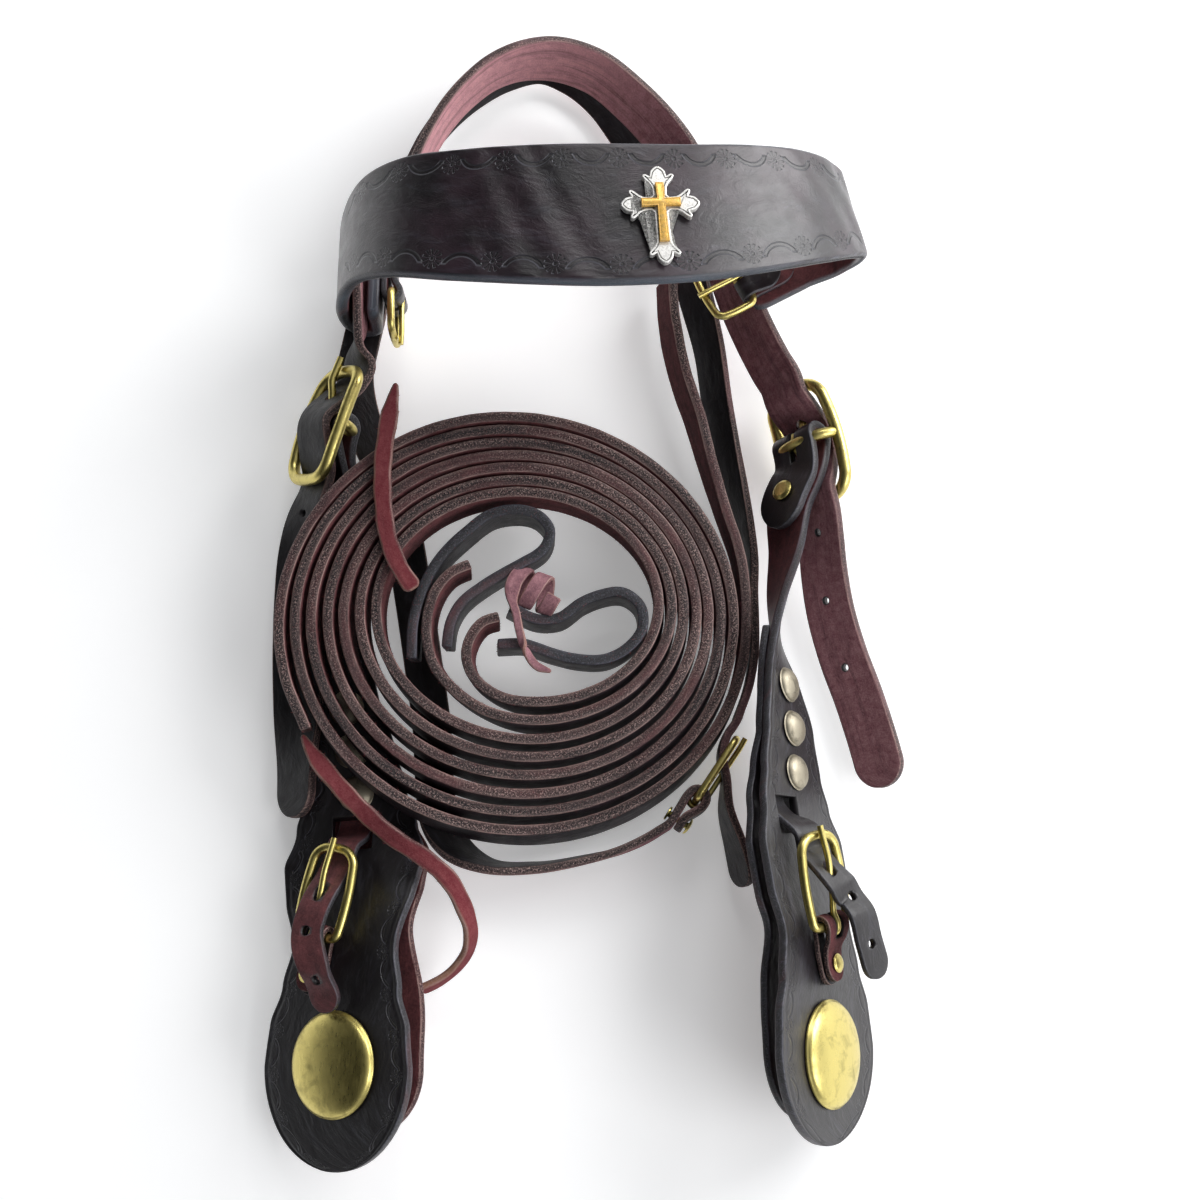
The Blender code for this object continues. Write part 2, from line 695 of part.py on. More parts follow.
def make_bit_buckle(cheek, main, face, lining):
    """The bit buckle, its chape and rivet, its tongue, and the billet through the slot."""
    side = cheek.side
    v, yaw, roll, lift = cheek.seat
    height = FRONT_THICK / 2 + GAP + CHAPE_THICK + BIT_WIRE + GAP + lift
    base = frame_at(main, BIT_FAR_BAR + BIT_LENGTH + cheek.late)
    flat = buckle_matrix(place(base, 0, v, height), -base.t, base.n)
    flat = flat @ Matrix.Rotation(math.radians(yaw), 4, "Z")
    home = flat @ Matrix.Rotation(math.radians(roll), 4, "X")
    half = BILLET_WIDTH / 2 + SLOT_GAP + 0.3
    heel_buckle("bit_buckle_" + side, home, BIT_LENGTH, half, BIT_WIRE, BIT_RISE, 6.0)

    bend = BIT_WIRE + GAP + CHAPE_THICK / 2 + 0.15
    chape_path = fold_frames(home, bend, CHAPE_THICK, 20.0, 19.0, roll, lift - 0.3)
    chape = plain_strap("bit_chape_" + side, chape_path, CHAPE_WIDTH, CHAPE_THICK, "flesh")
    mortise(chape, metre_matrix(home), (-4.5, -BIT_TONGUE - SLOT_GAP, -5),
            (6.5, BIT_TONGUE + SLOT_GAP, 6.5))

    over = bend + CHAPE_THICK / 2 + GAP + BILLET_THICK / 2 + 0.2
    under = BIT_RISE - BIT_WIRE - GAP - BILLET_THICK / 2 - 0.15
    path = [(BIT_LENGTH + 1.0, 0, under - 0.2), (BIT_LENGTH - 4, 0, under + 0.1)]
    if side == "left":
        path += [(BIT_LENGTH - 10, 0, under + 2.0), (BIT_LENGTH - 17, 0, over - 1.9),
                 (BIT_LENGTH - 23, 0, over - 0.1), (1.0, 0, over + 0.1)]
    else:
        path += [(BIT_LENGTH - 8, 0, under + 2.7), (BIT_LENGTH - 12.5, -0.2, over - 1.5),
                 (BIT_LENGTH - 17, -2.0, over + 0.4), (BIT_LENGTH - 22, -4.6, over + 1.0)]
    wide = home.to_3x3() @ ALONG_Y
    stops = []
    behind = -FRONT_THICK / 2 - GAP - BILLET_THICK / 2 - 0.1
    for a, n in ((15.0, behind), (12.0, behind + 0.1), (8.0, -0.8)):
        hidden = frame_at(main, BIT_FAR_BAR + cheek.late - a)
        v = (local(home, BIT_LENGTH + a, 0, 0) - hidden.p).dot(hidden.w)
        along = hidden.w if hidden.w.dot(wide) > 0 else -hidden.w
        stops.append((place(hidden, 0, v, n), along))
    slot = frame_at(main, BIT_FAR_BAR + cheek.late - 6.5)
    v = (local(home, BIT_LENGTH + 7, 0, 0) - slot.p).dot(slot.w)
    stops += [(local(home, *row), wide) for row in path]
    stops += [(Vector(point), wide) for point in cheek.tail]
    rows = blend_rows([(*point, *across) for point, across in stops], 1.5)
    billet_path = frames_from([Vector(row[:3]) for row in rows], [Vector(row[3:]) for row in rows])
    billet = plain_strap("bit_billet_" + side, billet_path, BILLET_WIDTH, BILLET_THICK, "tooled",
                         round_start=False)
    for back in (12.0, 29.0):
        drill(billet, frame_at(billet_path, billet_path[-1].s - back), 1.7, 4, sides=10)
    top = bend - CHAPE_THICK / 2 + 0.2
    wire_path = tongue("bit_tongue_" + side, home, BIT_WIRE, BIT_TONGUE,
                       ((4, top), (9, top + 1.0), (15, top + 1.6), (21, BIT_RISE + 3.4)),
                       BIT_LENGTH, BIT_RISE + BIT_WIRE + GAP + BIT_TONGUE)
    pierce(billet, wire_path[6:12], BIT_TONGUE)
    mortise(face, matrix_of(slot, v), (-7.5, -BILLET_WIDTH / 2 - 1.1, -4),
            (5.5, BILLET_WIDTH / 2 + 1.1, 4))
    make_bit_rivet(cheek, flat, bend, height, lift, chape, face, lining)


def make_bit_rivet(cheek, flat, bend, height, lift, chape, face, lining):
    """The rivet through both legs of the chape, the face and the lining."""
    seat = flat @ Matrix.Translation(Vector((-CHAPE_RIVET, 0, 0)))
    top = -bend - lift + 0.3 + 1.5 * CHAPE_THICK + 2 * GAP + 0.5
    at = BIT_FAR_BAR + BIT_LENGTH + CHAPE_RIVET
    back = -height - lookup(LINING_DEPTH, at) - LINING_THICK / 2 - 1.3
    profile = [(0, top + 1.2), (2.2, top + 1.0), (RIVET_HEAD, top + 0.4), (RIVET_HEAD, top)]
    profile += [(RIVET_POST, top), (RIVET_POST, back), (2.6, back), (2.6, back - 0.8)]
    profile += [(0, back - 0.8)]
    turned("bit_rivet_" + cheek.side, profile, metre_matrix(seat), "brass", 12)
    frame = Frame(seat.translation, *[seat.to_3x3().col[k] for k in range(3)], 0)
    for layer in (chape, face, lining):
        drill(layer, frame, RIVET_POST + GAP, 24, sides=8)


# Crown strap and large buckles

def weave(cheek, upward):
    """Stations of the crown strap through a large buckle, in travel order."""
    bar = cheek_bar(cheek)
    over = FOLD_BEND + FRONT_THICK / 2 + GAP + CROWN_THICK / 2 + 0.6
    under = CART_BOW - CART_WIRE - GAP - CROWN_THICK / 2 - 0.15
    half = CART_LENGTH / 2
    spots = [(half + 4, under - 0.3), (half - 3, under + 0.3), (half / 2, under + 4.6), (0, over),
             (-half / 2, under + 4.6), (-half + 3, under + 0.3), (-half - 4, under - 0.3)]
    if upward:
        spots.reverse()
    return [(*local(bar, a, 0, n), 90 + cheek.tilt) for a, n in spots]


CROWN_LEFT_TAIL = ((-102.4, -81, 9.4, 137), (-102.7, -62, 9.1, 140), (-103.1, -42, 9.0, 160),
                   (-103.4, -20, 10.8, 170), (-103.6, 0, 11.2, 166), (-103.4, 15, 11.4, 157),
                   (-101.8, 28, 13.6, 140))
CROWN_OVER = ((-84.4, 90, 18.0, 112), (-83.4, 98, 20.3, 94), (-83.3, 106, 21.0, 90),
              (-83.6, 118, 21.1, 90), (-83.0, 125.5, 21.0, 90), (-80.1, 133, 20.9, 89),
              (-73.4, 144, 21, 89),
              (-66, 156, 21.4, 90), (-59.6, 171, 21.7, 90), (-52.3, 184.3, 21.8, 88),
              (-44, 194.4, 21.8, 86), (-35.5, 201.6, 21.8, 83), (-25.5, 206, 21.8, 77),
              (-12, 207.2, 21.7, 66), (2.5, 202.6, 21.4, 60), (17.5, 190.2, 20.9, 55),
              (34.2, 169.8, 19.5, 50), (45.5, 145, 18.2, 50), (53, 125, 17.2, 50),
              (59, 107, 16.8, 50), (64.4, 94, 17.0, 50), (69.6, 83, 17.7, 50))
CROWN_RIGHT_TAIL = ((85.9, 20, 15.4, 47), (87.0, 9, 11.6, 43), (89.3, -6, 9.0, 40),
                    (93.4, -22, 8.3, 38), (98.8, -38, 8.2, 38), (105.4, -62, 8.2, 38),
                    (107.2, -70, 8.2, 38))


CART_TOP = CART_BOW + CART_WIRE + GAP + CART_TONGUE
CART_EYE = CART_BAR + GAP + CART_TONGUE + 0.05
CART_STEM = ((3, CART_EYE), (7, CART_EYE + 0.3), (12, CART_EYE + 1.9), (16, CART_TOP))


def make_crown():
    rows = list(CROWN_LEFT_TAIL) + weave(CHEEKS["left"], True) + list(CROWN_OVER)
    rows += weave(CHEEKS["right"], False) + list(CROWN_RIGHT_TAIL)
    path = strap_frames(rows)
    crown = plain_strap("crown_strap", path, CROWN_WIDTH, CROWN_THICK, "flesh")
    for cheek, turn in ((CHEEKS["left"], -1), (CHEEKS["right"], 1)):
        bar = cheek_bar(cheek)
        crossing = nearest(path, local(bar, CART_LENGTH / 4, 0, CART_BOW))
        pierce(crown, [local(bar, a, 0, n) for a, n in CART_STEM], CART_TONGUE)
        for k in range(1, 4):
            frame = frame_at(path, crossing.s + turn * (22 + k * TAIL_PITCH))
            drill(crown, frame, TAIL_HOLE, 5)
    return crown


def make_large_buckle(cheek):
    """A bowed cast frame with a bar across its middle, and its tongue."""
    bar = cheek_bar(cheek)
    half = CROWN_WIDTH / 2 + SLOT_GAP + 0.6 + CART_WIRE
    outline = loop_outline(CART_LENGTH, half, 8.0, 8.0, 0.0, 1.5)
    ring = [local(bar, a - CART_LENGTH / 2, v, n + CART_BOW) for a, v, n in outline]
    name = "cheek_buckle_" + cheek.side
    frame = welded(wire(name, ring, CART_WIRE, "brass", cyclic=True, rounds=2))
    reach = half
    legs = [(-reach, CART_BOW + 1.4), (-reach + 0.1, 1.9), (-reach + 1.1, 0),
            (reach - 1.1, 0), (reach - 0.1, 1.9), (reach, CART_BOW + 1.4)]
    rod = welded(wire("bar_" + cheek.side, [local(bar, 0, v, n) for v, n in legs], CART_BAR,
                      None, rounds=2, home=CUTTERS))
    join = frame.modifiers.new("bar", "BOOLEAN")
    join.operation = "UNION"
    join.solver = "EXACT"
    join.object = rod
    tongue("cheek_tongue_" + cheek.side, bar, CART_BAR, CART_TONGUE, CART_STEM,
           CART_LENGTH / 2, CART_TOP)


# Throatlatch

THROAT_BAR = Vector((39.7, -74.6, 10.6))
THROAT_AHEAD = Vector((0.56, 0.828, 0)).normalized()
THROAT_LEFT = ((22.0, -88.2, 9.4, 90), (12.5, -92.4, 9.2, 88), (0, -95.6, 9.0, 84), (-18, -98.4, 8.6, 80),
               (-35, -97.4, 8.2, 72), (-46, -91.0, 6.2, 44), (-52, -81, 3.6, 14), (-54, -68, 2.2, 2),
               (-55.5, -48, 2.0, 0), (-59, -25, 2.0, 0), (-63.5, 2, 2.0, 0), (-68.5, 28, 2.0, 0),
               (-76, 50, 2.2, 2), (-84.5, 70, 3.0, 8), (-87.2, 86, 3.4, 12), (-85.4, 100, 2.3, 2),
               (-83.2, 112, 1.9, 0), (-81.6, 127, 2.1, 0), (-78.4, 139, 5.2, 26),
               (-73.6, 151, 8.0, 58), (-67.2, 165, 9.4, 76), (-61.4, 178, 9.4, 78),
               (-53.6, 189.6, 9.2, 74), (-43.8, 200.0, 8.6, 66), (-31, 208.8, 7.8, 56),
               (-17, 212.8, 6.8, 46), (-5.5, 208.8, 5.2, 32), (5.5, 199.8, 4.3, 22),
               (14.5, 187, 4.2, 21), (22.4, 172, 4.2, 22), (30.5, 153, 4.4, 24),
               (37.8, 133, 5.0, 29), (42.6, 114, 6.0, 38), (46.4, 97, 7.0, 47),
               (49.6, 72, 7.4, 50), (52.6, 54, 7.5, 54), (55.6, 40, 7.6, 62), (58.8, 25, 7.8, 74),
               (61.0, 12, 7.8, 84), (61.3, 0, 7.8, 90), (61.4, -10, 7.8, 90), (61.1, -22, 7.9, 90),
               (58.9, -34, 8.4, 90))


THROAT_FREE = (((50.4, -78.5, 8.6), 80), ((53.6, -91, 8.0), 68), ((56.8, -105, 7.6), 60))


def throat_buckle():
    outward = THROAT_AHEAD.cross(UP)
    return buckle_matrix(THROAT_BAR, THROAT_AHEAD, outward)


def make_throatlatch():
    home = throat_buckle()
    bend = THROAT_WIRE + GAP + THROAT_THICK / 2 + 0.1
    low = -bend + THROAT_THICK + GAP + 0.15
    start = [local(home, a, 0, low) for a in (-13.2, -10.5, -8)]
    start.append(local(home, -4, 0, (bend + low) / 2 + 0.4))
    start += [local(home, bend * math.sin(math.radians(d)), 0, bend * math.cos(math.radians(d)))
              for d in (0, 30, 60, 90, 120, 150, 180)]
    start += [local(home, a, 0, -bend) for a in (-6.5, -13)]
    length = THROAT_LENGTH
    under = -THROAT_WIRE - GAP - THROAT_THICK / 2 - 0.3
    through = [local(home, a, 0, n) for a, n in ((length + 6, under), (length, under),
                                                 (length - 7, under + 2.3), (length - 13, 4.4))]
    body = strap_frames([(*start[-1], 90)] + list(THROAT_LEFT) + [(*through[0], 90)])
    stops = [(point, UP) for point in start]
    stops += [(frame.p, frame.w) for frame in body[2:-2]]
    stops += [(point, UP) for point in through]
    for point, lean in THROAT_FREE:
        lean = math.radians(lean)
        stops.append((Vector(point), Vector((math.cos(lean), 0, math.sin(lean)))))
    rows = blend_rows([(*point, *wide) for point, wide in stops], 2.0)
    path = frames_from([Vector(row[:3]) for row in rows], [Vector(row[3:]) for row in rows])
    strap = plain_strap("throatlatch_strap", path, THROAT_WIDTH, THROAT_THICK, "tooled")
    mortise(strap, metre_matrix(home), (-5, -THROAT_TONGUE - SLOT_GAP, -6),
            (7, THROAT_TONGUE + SLOT_GAP, 6))
    heel_buckle("throatlatch_buckle", home, length, THROAT_WIDTH / 2 + SLOT_GAP, THROAT_WIRE)
    top = THROAT_WIRE + GAP + THROAT_TONGUE + 0.05
    wire_path = tongue("throatlatch_tongue", home, THROAT_WIRE, THROAT_TONGUE,
                       ((4, top), (9, top), (14, top), (19, top)), length, top)
    pierce(strap, wire_path[8:12], THROAT_TONGUE)
    seat = home @ Matrix.Translation(Vector((-9.6, 0, -bend)))
    low = -THROAT_THICK / 2 - GAP - 0.2
    high = THROAT_THICK * 1.5 + 2 * GAP + 0.6
    profile = [(0, high + 1.2), (2.2, high + 1.0), (RIVET_HEAD, high + 0.4), (RIVET_HEAD, high)]
    profile += [(RIVET_POST, high), (RIVET_POST, low), (2.6, low), (2.6, low - 0.8), (0, low - 0.8)]
    turned("throatlatch_rivet", profile, metre_matrix(seat), "brass", 12)
    frame = Frame(seat.translation, *[seat.to_3x3().col[k] for k in range(3)], 0)
    drill(strap, frame, RIVET_POST + GAP, 8, sides=8)


# Browband

BROW_ROUTE = ((-77.7, 112, 29, 90), (-77.7, 112, 18, 90), (-79.0, 112.4, 9.8, 90),
              (-83.2, 113, 6.2, 90), (-87.4, 113.5, 9.8, 90), (-88.9, 114, 18, 90),
              (-88.4, 116, 30, 89), (-84.8, 118.5, 45, 88), (-77.6, 119.5, 60, 87),
              (-63.6, 117.5, 75, 86), (-42, 113.6, 85.5, 86), (-15, 111, 91.5, 86),
              (10, 110.2, 93, 86), (36, 112, 90.5, 86), (60, 117.5, 82.5, 85), (78, 123.5, 71, 83),
              (89.6, 128.6, 57.5, 79), (94.8, 131, 47, 76), (94.4, 131, 38.6, 76),
              (89, 128.6, 31.8, 82), (80, 124.0, 29.1, 88), (69, 118.2, 28.6, 90),
              (57.5, 112.2, 28.5, 90))


def brow_half(s, length):
    """Half width: broad over the forehead, narrow where the band turns under."""
    centre = length * 0.515
    share = min(abs(s - centre) / (length * 0.42), 1.0)
    half = BROW_END_WIDTH / 2 + (BROW_WIDTH - BROW_END_WIDTH) / 2 * (1 - share ** 1.75)
    return round_end(half, s, -6.0, length + 6.0)


BROW_BUCKLES = {
    "left": (Vector((-71.0, 110.4, 19.5)), Vector((0.02, -1, 0)), Vector((1, 0, 0)), 20.0, 12.0),
    "right": (Vector((57, 112.4, 35.3)), Vector((-0.885, -0.463, -0.01)), Vector((-0.01, 0, 1)), 21.0,
              15.0),
}


def make_browband():
    path = strap_frames(BROW_ROUTE, ALONG_Y)
    length = path[-1].s
    band = ribbon("browband", sparse(path, (2.0, length - 2.0)), lambda s: brow_half(s, length),
                  BROW_THICK, "tooled", 3)
    for side, (bar, ahead, normal, low_leg, high_leg) in BROW_BUCKLES.items():
        make_brow_buckle(side, buckle_matrix(bar, ahead, normal), low_leg, high_leg, band)
    make_cross(path, band)


def make_brow_buckle(side, home, low_leg, high_leg, band):
    """A small wire buckle on a short chape riveted to the end of the band."""
    half = BROW_CHAPE_WIDTH / 2 + SLOT_GAP
    heel_buckle("browband_buckle_" + side, home, BROW_BUCKLE_LENGTH, half, BROW_WIRE)
    bend = BROW_WIRE + GAP + BROW_CHAPE_THICK / 2
    path = fold_frames(home, bend, BROW_CHAPE_THICK, low_leg, high_leg)
    chape = plain_strap("browband_chape_" + side, path, BROW_CHAPE_WIDTH, BROW_CHAPE_THICK, "black")
    mortise(chape, metre_matrix(home), (-5, -BROW_TONGUE - SLOT_GAP, -5),
            (6, BROW_TONGUE + SLOT_GAP, 6))
    top = BROW_WIRE + GAP + BROW_TONGUE
    tongue("browband_tongue_" + side, home, BROW_WIRE, BROW_TONGUE, ((4, top), (9, top)),
           BROW_BUCKLE_LENGTH, top)
    seat = Matrix.Translation(home.to_3x3() @ Vector((-12.0, 0, -bend))) @ home
    low = -BROW_CHAPE_THICK / 2 - BROW_THICK - 2 * GAP - 0.05
    high = BROW_CHAPE_THICK * 1.5 + 2 * GAP + 0.45
    profile = [(0, high + 0.9), (2.0, high + 0.7), (2.8, high + 0.3), (2.8, high)]
    profile += [(1.0, high), (1.0, low), (2.2, low), (2.2, low - 0.5), (0, low - 0.5)]
    turned("browband_rivet_" + side, profile, metre_matrix(seat), "brass", 10)
    frame = Frame(seat.translation, *[seat.to_3x3().col[k] for k in range(3)], 0)
    drill(chape, frame, 1.0 + GAP, 7, sides=8)
    drill(band, frame, 1.0 + GAP, 9, sides=8)


def flat_plate(name, outline, thick, matrix, look):
    """A flat plate from a closed outline in millimetres."""
    curve = bpy.data.curves.new(name, "CURVE")
    curve.dimensions = "2D"
    curve.fill_mode = "BOTH"
    curve.extrude = thick / 2 * MM
    line = curve.splines.new("POLY")
    line.points.add(len(outline) - 1)
    for item, (x, y) in zip(line.points, outline):
        item.co = (x * MM, y * MM, 0, 1)
    line.use_cyclic_u = True
    made = add(name, curve, look, matrix)
    weld = made.modifiers.new("weld", "WELD")
    weld.merge_threshold = 0.00001
    return made


def cross_outline(reach_down, reach_up, reach_side):
    """A cross with flared arms that end in three leaves."""
    quarter = []
    arms = ((90, reach_up), (0, reach_side), (-90, reach_down), (180, reach_side))
    stem, flare, leaf = 2.3, 5.2, 2.3
    for degrees, reach in arms:
        ahead = Vector((math.cos(math.radians(degrees)), math.sin(math.radians(degrees))))
        right = Vector((-ahead.y, ahead.x))
        spots = ((3.2, stem), (reach - 7.6, stem + 0.2), (reach - 5.0, flare - 0.9),
                 (reach - 3.4, flare), (reach - 2.9, flare - 1.1), (reach - 3.6, leaf + 0.4),
                 (reach - 1.6, leaf), (reach, 0.5))
        for along, out in spots:
            quarter.append(ahead * along + right * out)
        for along, out in reversed(spots):
            quarter.append(ahead * along - right * out)
    return [(point.x, point.y) for point in quarter]


def make_cross(path, band):
    """The ornament: a silver cross, a small gold cross on it and its screw."""
    frame = frame_at(path, min(path, key=lambda f: (f.p - Vector((24.6, 112, 92))).length).s)
    middle = -1.1
    top = BROW_THICK / 2 + GAP + CROSS_THICK / 2
    seat = matrix_of(frame, -middle, top)
    up = CROSS_HEIGHT * 0.39
    outline = cross_outline(CROSS_HEIGHT - up, up, CROSS_WIDTH / 2)
    flat_plate("cross_ornament", outline, CROSS_THICK, seat, "silver")
    arm = 1.7
    low, high, wide = CROSS_HEIGHT * 0.36, CROSS_HEIGHT * 0.21, CROSS_WIDTH * 0.26
    inner = ((-arm * 1.25, -low), (arm * 1.25, -low), (arm, -arm), (wide, -arm * 1.1),
             (wide, arm * 1.1), (arm, arm), (arm * 1.1, high), (-arm * 1.1, high), (-arm, arm),
             (-wide, arm * 1.1), (-wide, -arm * 1.1), (-arm, -arm))
    on_top = matrix_of(frame, -middle, top + (CROSS_THICK + OVERLAY_THICK) / 2 + GAP)
    flat_plate("cross_overlay", inner, OVERLAY_THICK, on_top, "brass")
    start = -(CROSS_THICK / 2 + GAP)
    end = -(CROSS_THICK / 2 + 2 * GAP + BROW_THICK)
    profile = [(0, start), (1.5, start), (1.5, end), (3.6, end), (3.6, end - 1.0), (0, end - 1.0)]
    turned("cross_screw", profile, seat, "nickel", 12)
    drill(band, frame, 1.5 + GAP, 6, v=-middle, sides=8)


# Reins

COIL_IN = ((-20.0, -7.1), (44.4, 35.4))
COIL_OUT = ((-24.15, -13.75), (79.45, 73.55))
COIL_LAYERS = 7
POINTS_A_TURN = 26
COIL_START = 8.0
TABLE_TILT = (10.6, -0.0866, 0.0794)


def coil_bed(x, y):
    """Height of the coil's underside: it rests on the cheek at the left."""
    return TABLE_TILT[0] + TABLE_TILT[1] * x + TABLE_TILT[2] * y


def on_edge(x, y, lean=90.0):
    return (x, y, coil_bed(x, y) + REIN_WIDTH / 2, lean)


def coil_turns(first_layer, count):
    """Points of one rein's turns, evenly spaced; the coil starts at its lower side."""
    points = []
    for k in range(count):
        run = COIL_START + 360 * k / POINTS_A_TURN
        share = (first_layer + run / 180) / COIL_LAYERS
        angle = math.radians(270 + run)
        centre = [a + (b - a) * share for a, b in zip(COIL_IN[0], COIL_OUT[0])]
        reach = [a + (b - a) * share for a, b in zip(COIL_IN[1], COIL_OUT[1])]
        x = centre[0] + reach[0] * math.cos(angle)
        y = centre[1] + reach[1] * math.sin(angle)
        points.append(on_edge(x, y))
    return points


REIN_A_END = ((-40.8, 6.2), (-46.8, 3.4), (-51.8, -2.6), (-54.6, -11.2), (-54.8, -20.5),
              (-52.4, -29.0), (-47.0, -36.0), (-38.6, -42.6))
REIN_B_END = ((-30.4, -12.2), (-35.4, -13.8), (-39.4, -18.6), (-41.2, -25.4), (-39.0, -32.4),
              (-33.0, -38.0))
REIN_A_LEAVES = ((57.4, -2, 12.6, 90), (55.7, 12, 12.8, 91), (50.3, 30, 12.8, 93),
                 (45.2, 48, 12.8, 97), (40.6, 66, 12.8, 101), (36.2, 80, 12.8, 102),
                 (33.2, 93, 12.8, 104), (31.2, 107, 12.8, 104), (30.6, 121, 12.8, 104))
LOOP_A = ((-60.4, -26.5), (-59.9, -14), (-57.0, -2.9), (-50.6, 9.0), (-41, 18.8), (-34.2, 24.2),
          (-25.6, 26.4), (-17.0, 24.8), (-12.6, 19.6), (-14.6, 13.0), (-21.0, 8.4), (-29.2, 3.6),
          (-37.0, -1.6), (-43.6, -7.4), (-47.2, -14.5), (-48.2, -22.5))
LOOP_B = ((-27.0, -8.0), (-16.4, -12.6), (-8.2, -11.6), (-2.2, -7.0), (5, -3.6), (14, -2.6),
          (19.8, -7.2), (20.4, -15.4), (15.4, -22.0), (7.6, -26.2), (-2.5, -26.4), (-12.6, -24.1),
          (-21.0, -21.4), (-31.0, -21.6))


def rein(name, rows):
    """A flat rein that follows its rows just as they stand."""
    points = [Vector(row[:3]) for row in rows]
    widths = []
    for i, row in enumerate(rows):
        travel = (points[min(i + 1, len(rows) - 1)] - points[max(i - 1, 0)]).normalized()
        side = UP.cross(travel).normalized()
        lean = math.radians(row[3])
        widths.append(side * math.cos(lean) + travel.cross(side) * math.sin(lean))
    half = REIN_WIDTH / 2
    return ribbon(name, frames_from(points, widths), lambda s: half, REIN_THICK, "rein")


def led_in(lead, turns):
    """The rows of a lead, smoothed up to the first of the turns."""
    return blend_rows(list(lead) + turns[:3], 5.0)[:-1 - steps_of(turns[:3], 5.0)]


def steps_of(rows, step):
    """How many pieces smoothing makes of these rows."""
    return sum(max(1, math.ceil(math.dist(a[:3], b[:3]) / step)) for a, b in zip(rows, rows[1:]))


def least_gap(rows):
    """Least clear space between turns of one wound strap, on its points."""
    low = 1e9
    for i, a in enumerate(rows):
        for b in rows[i + POINTS_A_TURN // 2:]:
            low = min(low, math.dist(a[:2], b[:2]) - REIN_THICK)
    return low


def make_reins():
    turns_a = coil_turns(1, 84)
    turns_b = coil_turns(0, 100)
    lead_a = led_in([on_edge(*p) for p in REIN_A_END], turns_a)
    lead_b = led_in([on_edge(*p) for p in REIN_B_END], turns_b)
    leaves = blend_rows(turns_a[-3:] + list(REIN_A_LEAVES), 7.0)
    leaves = leaves[steps_of(turns_a[-3:], 7.0) + 1:]
    rein("rein_a", lead_a + turns_a + leaves)
    rein("rein_b", lead_b + turns_b)
    rein("rein_loop_a", blend_rows([on_edge(*p) for p in LOOP_A], 4.5))
    rein("rein_loop_b", blend_rows([on_edge(*p) for p in LOOP_B], 4.5))
    print("least gap of rein_a to itself, mm:", round(least_gap(turns_a), 2))
    print("least gap of rein_b to itself, mm:", round(least_gap(turns_b), 2))


# Laces

LACE_UPPER = ((-66.8, 70, 40.8, 0), (-69.3, 56, 40.2, 0), (-71, 40, 38.8, 4), (-70.5, 26, 37.8, 6),
              (-68.3, 13, 36.6, 5), (-64.5, 4, 35.6, 3), (-59.5, -3.5, 34.4, 0))
LACE_LOWER = ((-98.7, -53.3, 23.5, -15), (-95.1, -59.1, 24.0, -12), (-86.6, -69.4, 25.0, -5),
              (-75.4, -80.6, 27.4, 8), (-64.3, -89.7, 31.2, 18), (-53.9, -96.4, 31.4, 10),
              (-46.1, -103.2, 29.2, -5), (-41.2, -112, 25.0, -30), (-39.0, -120.3, 19.0, -55),
              (-40.3, -127, 13.0, -68), (-44.3, -132.6, 9.4, -75), (-50.5, -137.4, 7.8, -75),
              (-57, -140.5, 7.2, -70))
KNOT_CENTRE = Vector((-14.6, -1.2, 24.6))
KNOT_AXIS = Vector((0.55, -0.83, 0)).normalized()
KNOT_LOOP = 4.6
KNOT_TAIL = ((-23.0, 0.4, 28.6), (-25.0, -3.2, 31.2), (-25.2, -9, 31.4), (-22.6, -17, 29.8),
             (-17.6, -29, 27.6))


def make_laces():
    for name, rows in (("lace_upper", LACE_UPPER), ("lace_lower", LACE_LOWER)):
        path = strap_frames(rows)
        length = path[-1].s
        marks = (1.0, 6.0, 12.0, length - 2.0)
        ribbon(name, sparse(path, marks),
               lambda s, end=length: LACE_WIDTH / 2 * min(1.0, 0.25 + s / 14, 0.7 + (end - s) / 6),
               LACE_THICK, "lace")
    across = KNOT_AXIS.cross(UP)
    points = []
    for k in range(25):
        angle = math.radians(k * 30)
        shift = (0.5 - k / 24) * 11.5
        points.append(KNOT_CENTRE + KNOT_AXIS * shift
                      + across * (KNOT_LOOP * math.cos(angle)) + UP * (KNOT_LOOP * math.sin(angle)))
    points += [Vector(point) for point in KNOT_TAIL]
    smooth = [Vector(row) for row in blend_rows([tuple(p) for p in points], 3.0)]
    wire("lace_knot", smooth, KNOT_RADIUS, "lace", rounds=1)


def main():
    for cheek in CHEEKS.values():
        make_cheek(cheek)
        make_large_buckle(cheek)
    make_crown()
    make_throatlatch()
    make_browband()
    make_reins()
    make_laces()


main()
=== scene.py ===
"""A western headstall with its coiled reins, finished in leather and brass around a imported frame.

Routes, widths and seats are in millimetres, as a saddler would mark them, and become metres
where a mesh is made. A strap is a route of stations (x, y, z, lean): lean is the turn of its
width about its own length, 0 lying flat and 90 standing on edge.
"""

import math
from collections import namedtuple
from functools import cache

import bmesh
import bpy
import numpy as np
from bpy.props import FloatProperty, FloatVectorProperty, IntProperty
from mathutils import Matrix, Vector


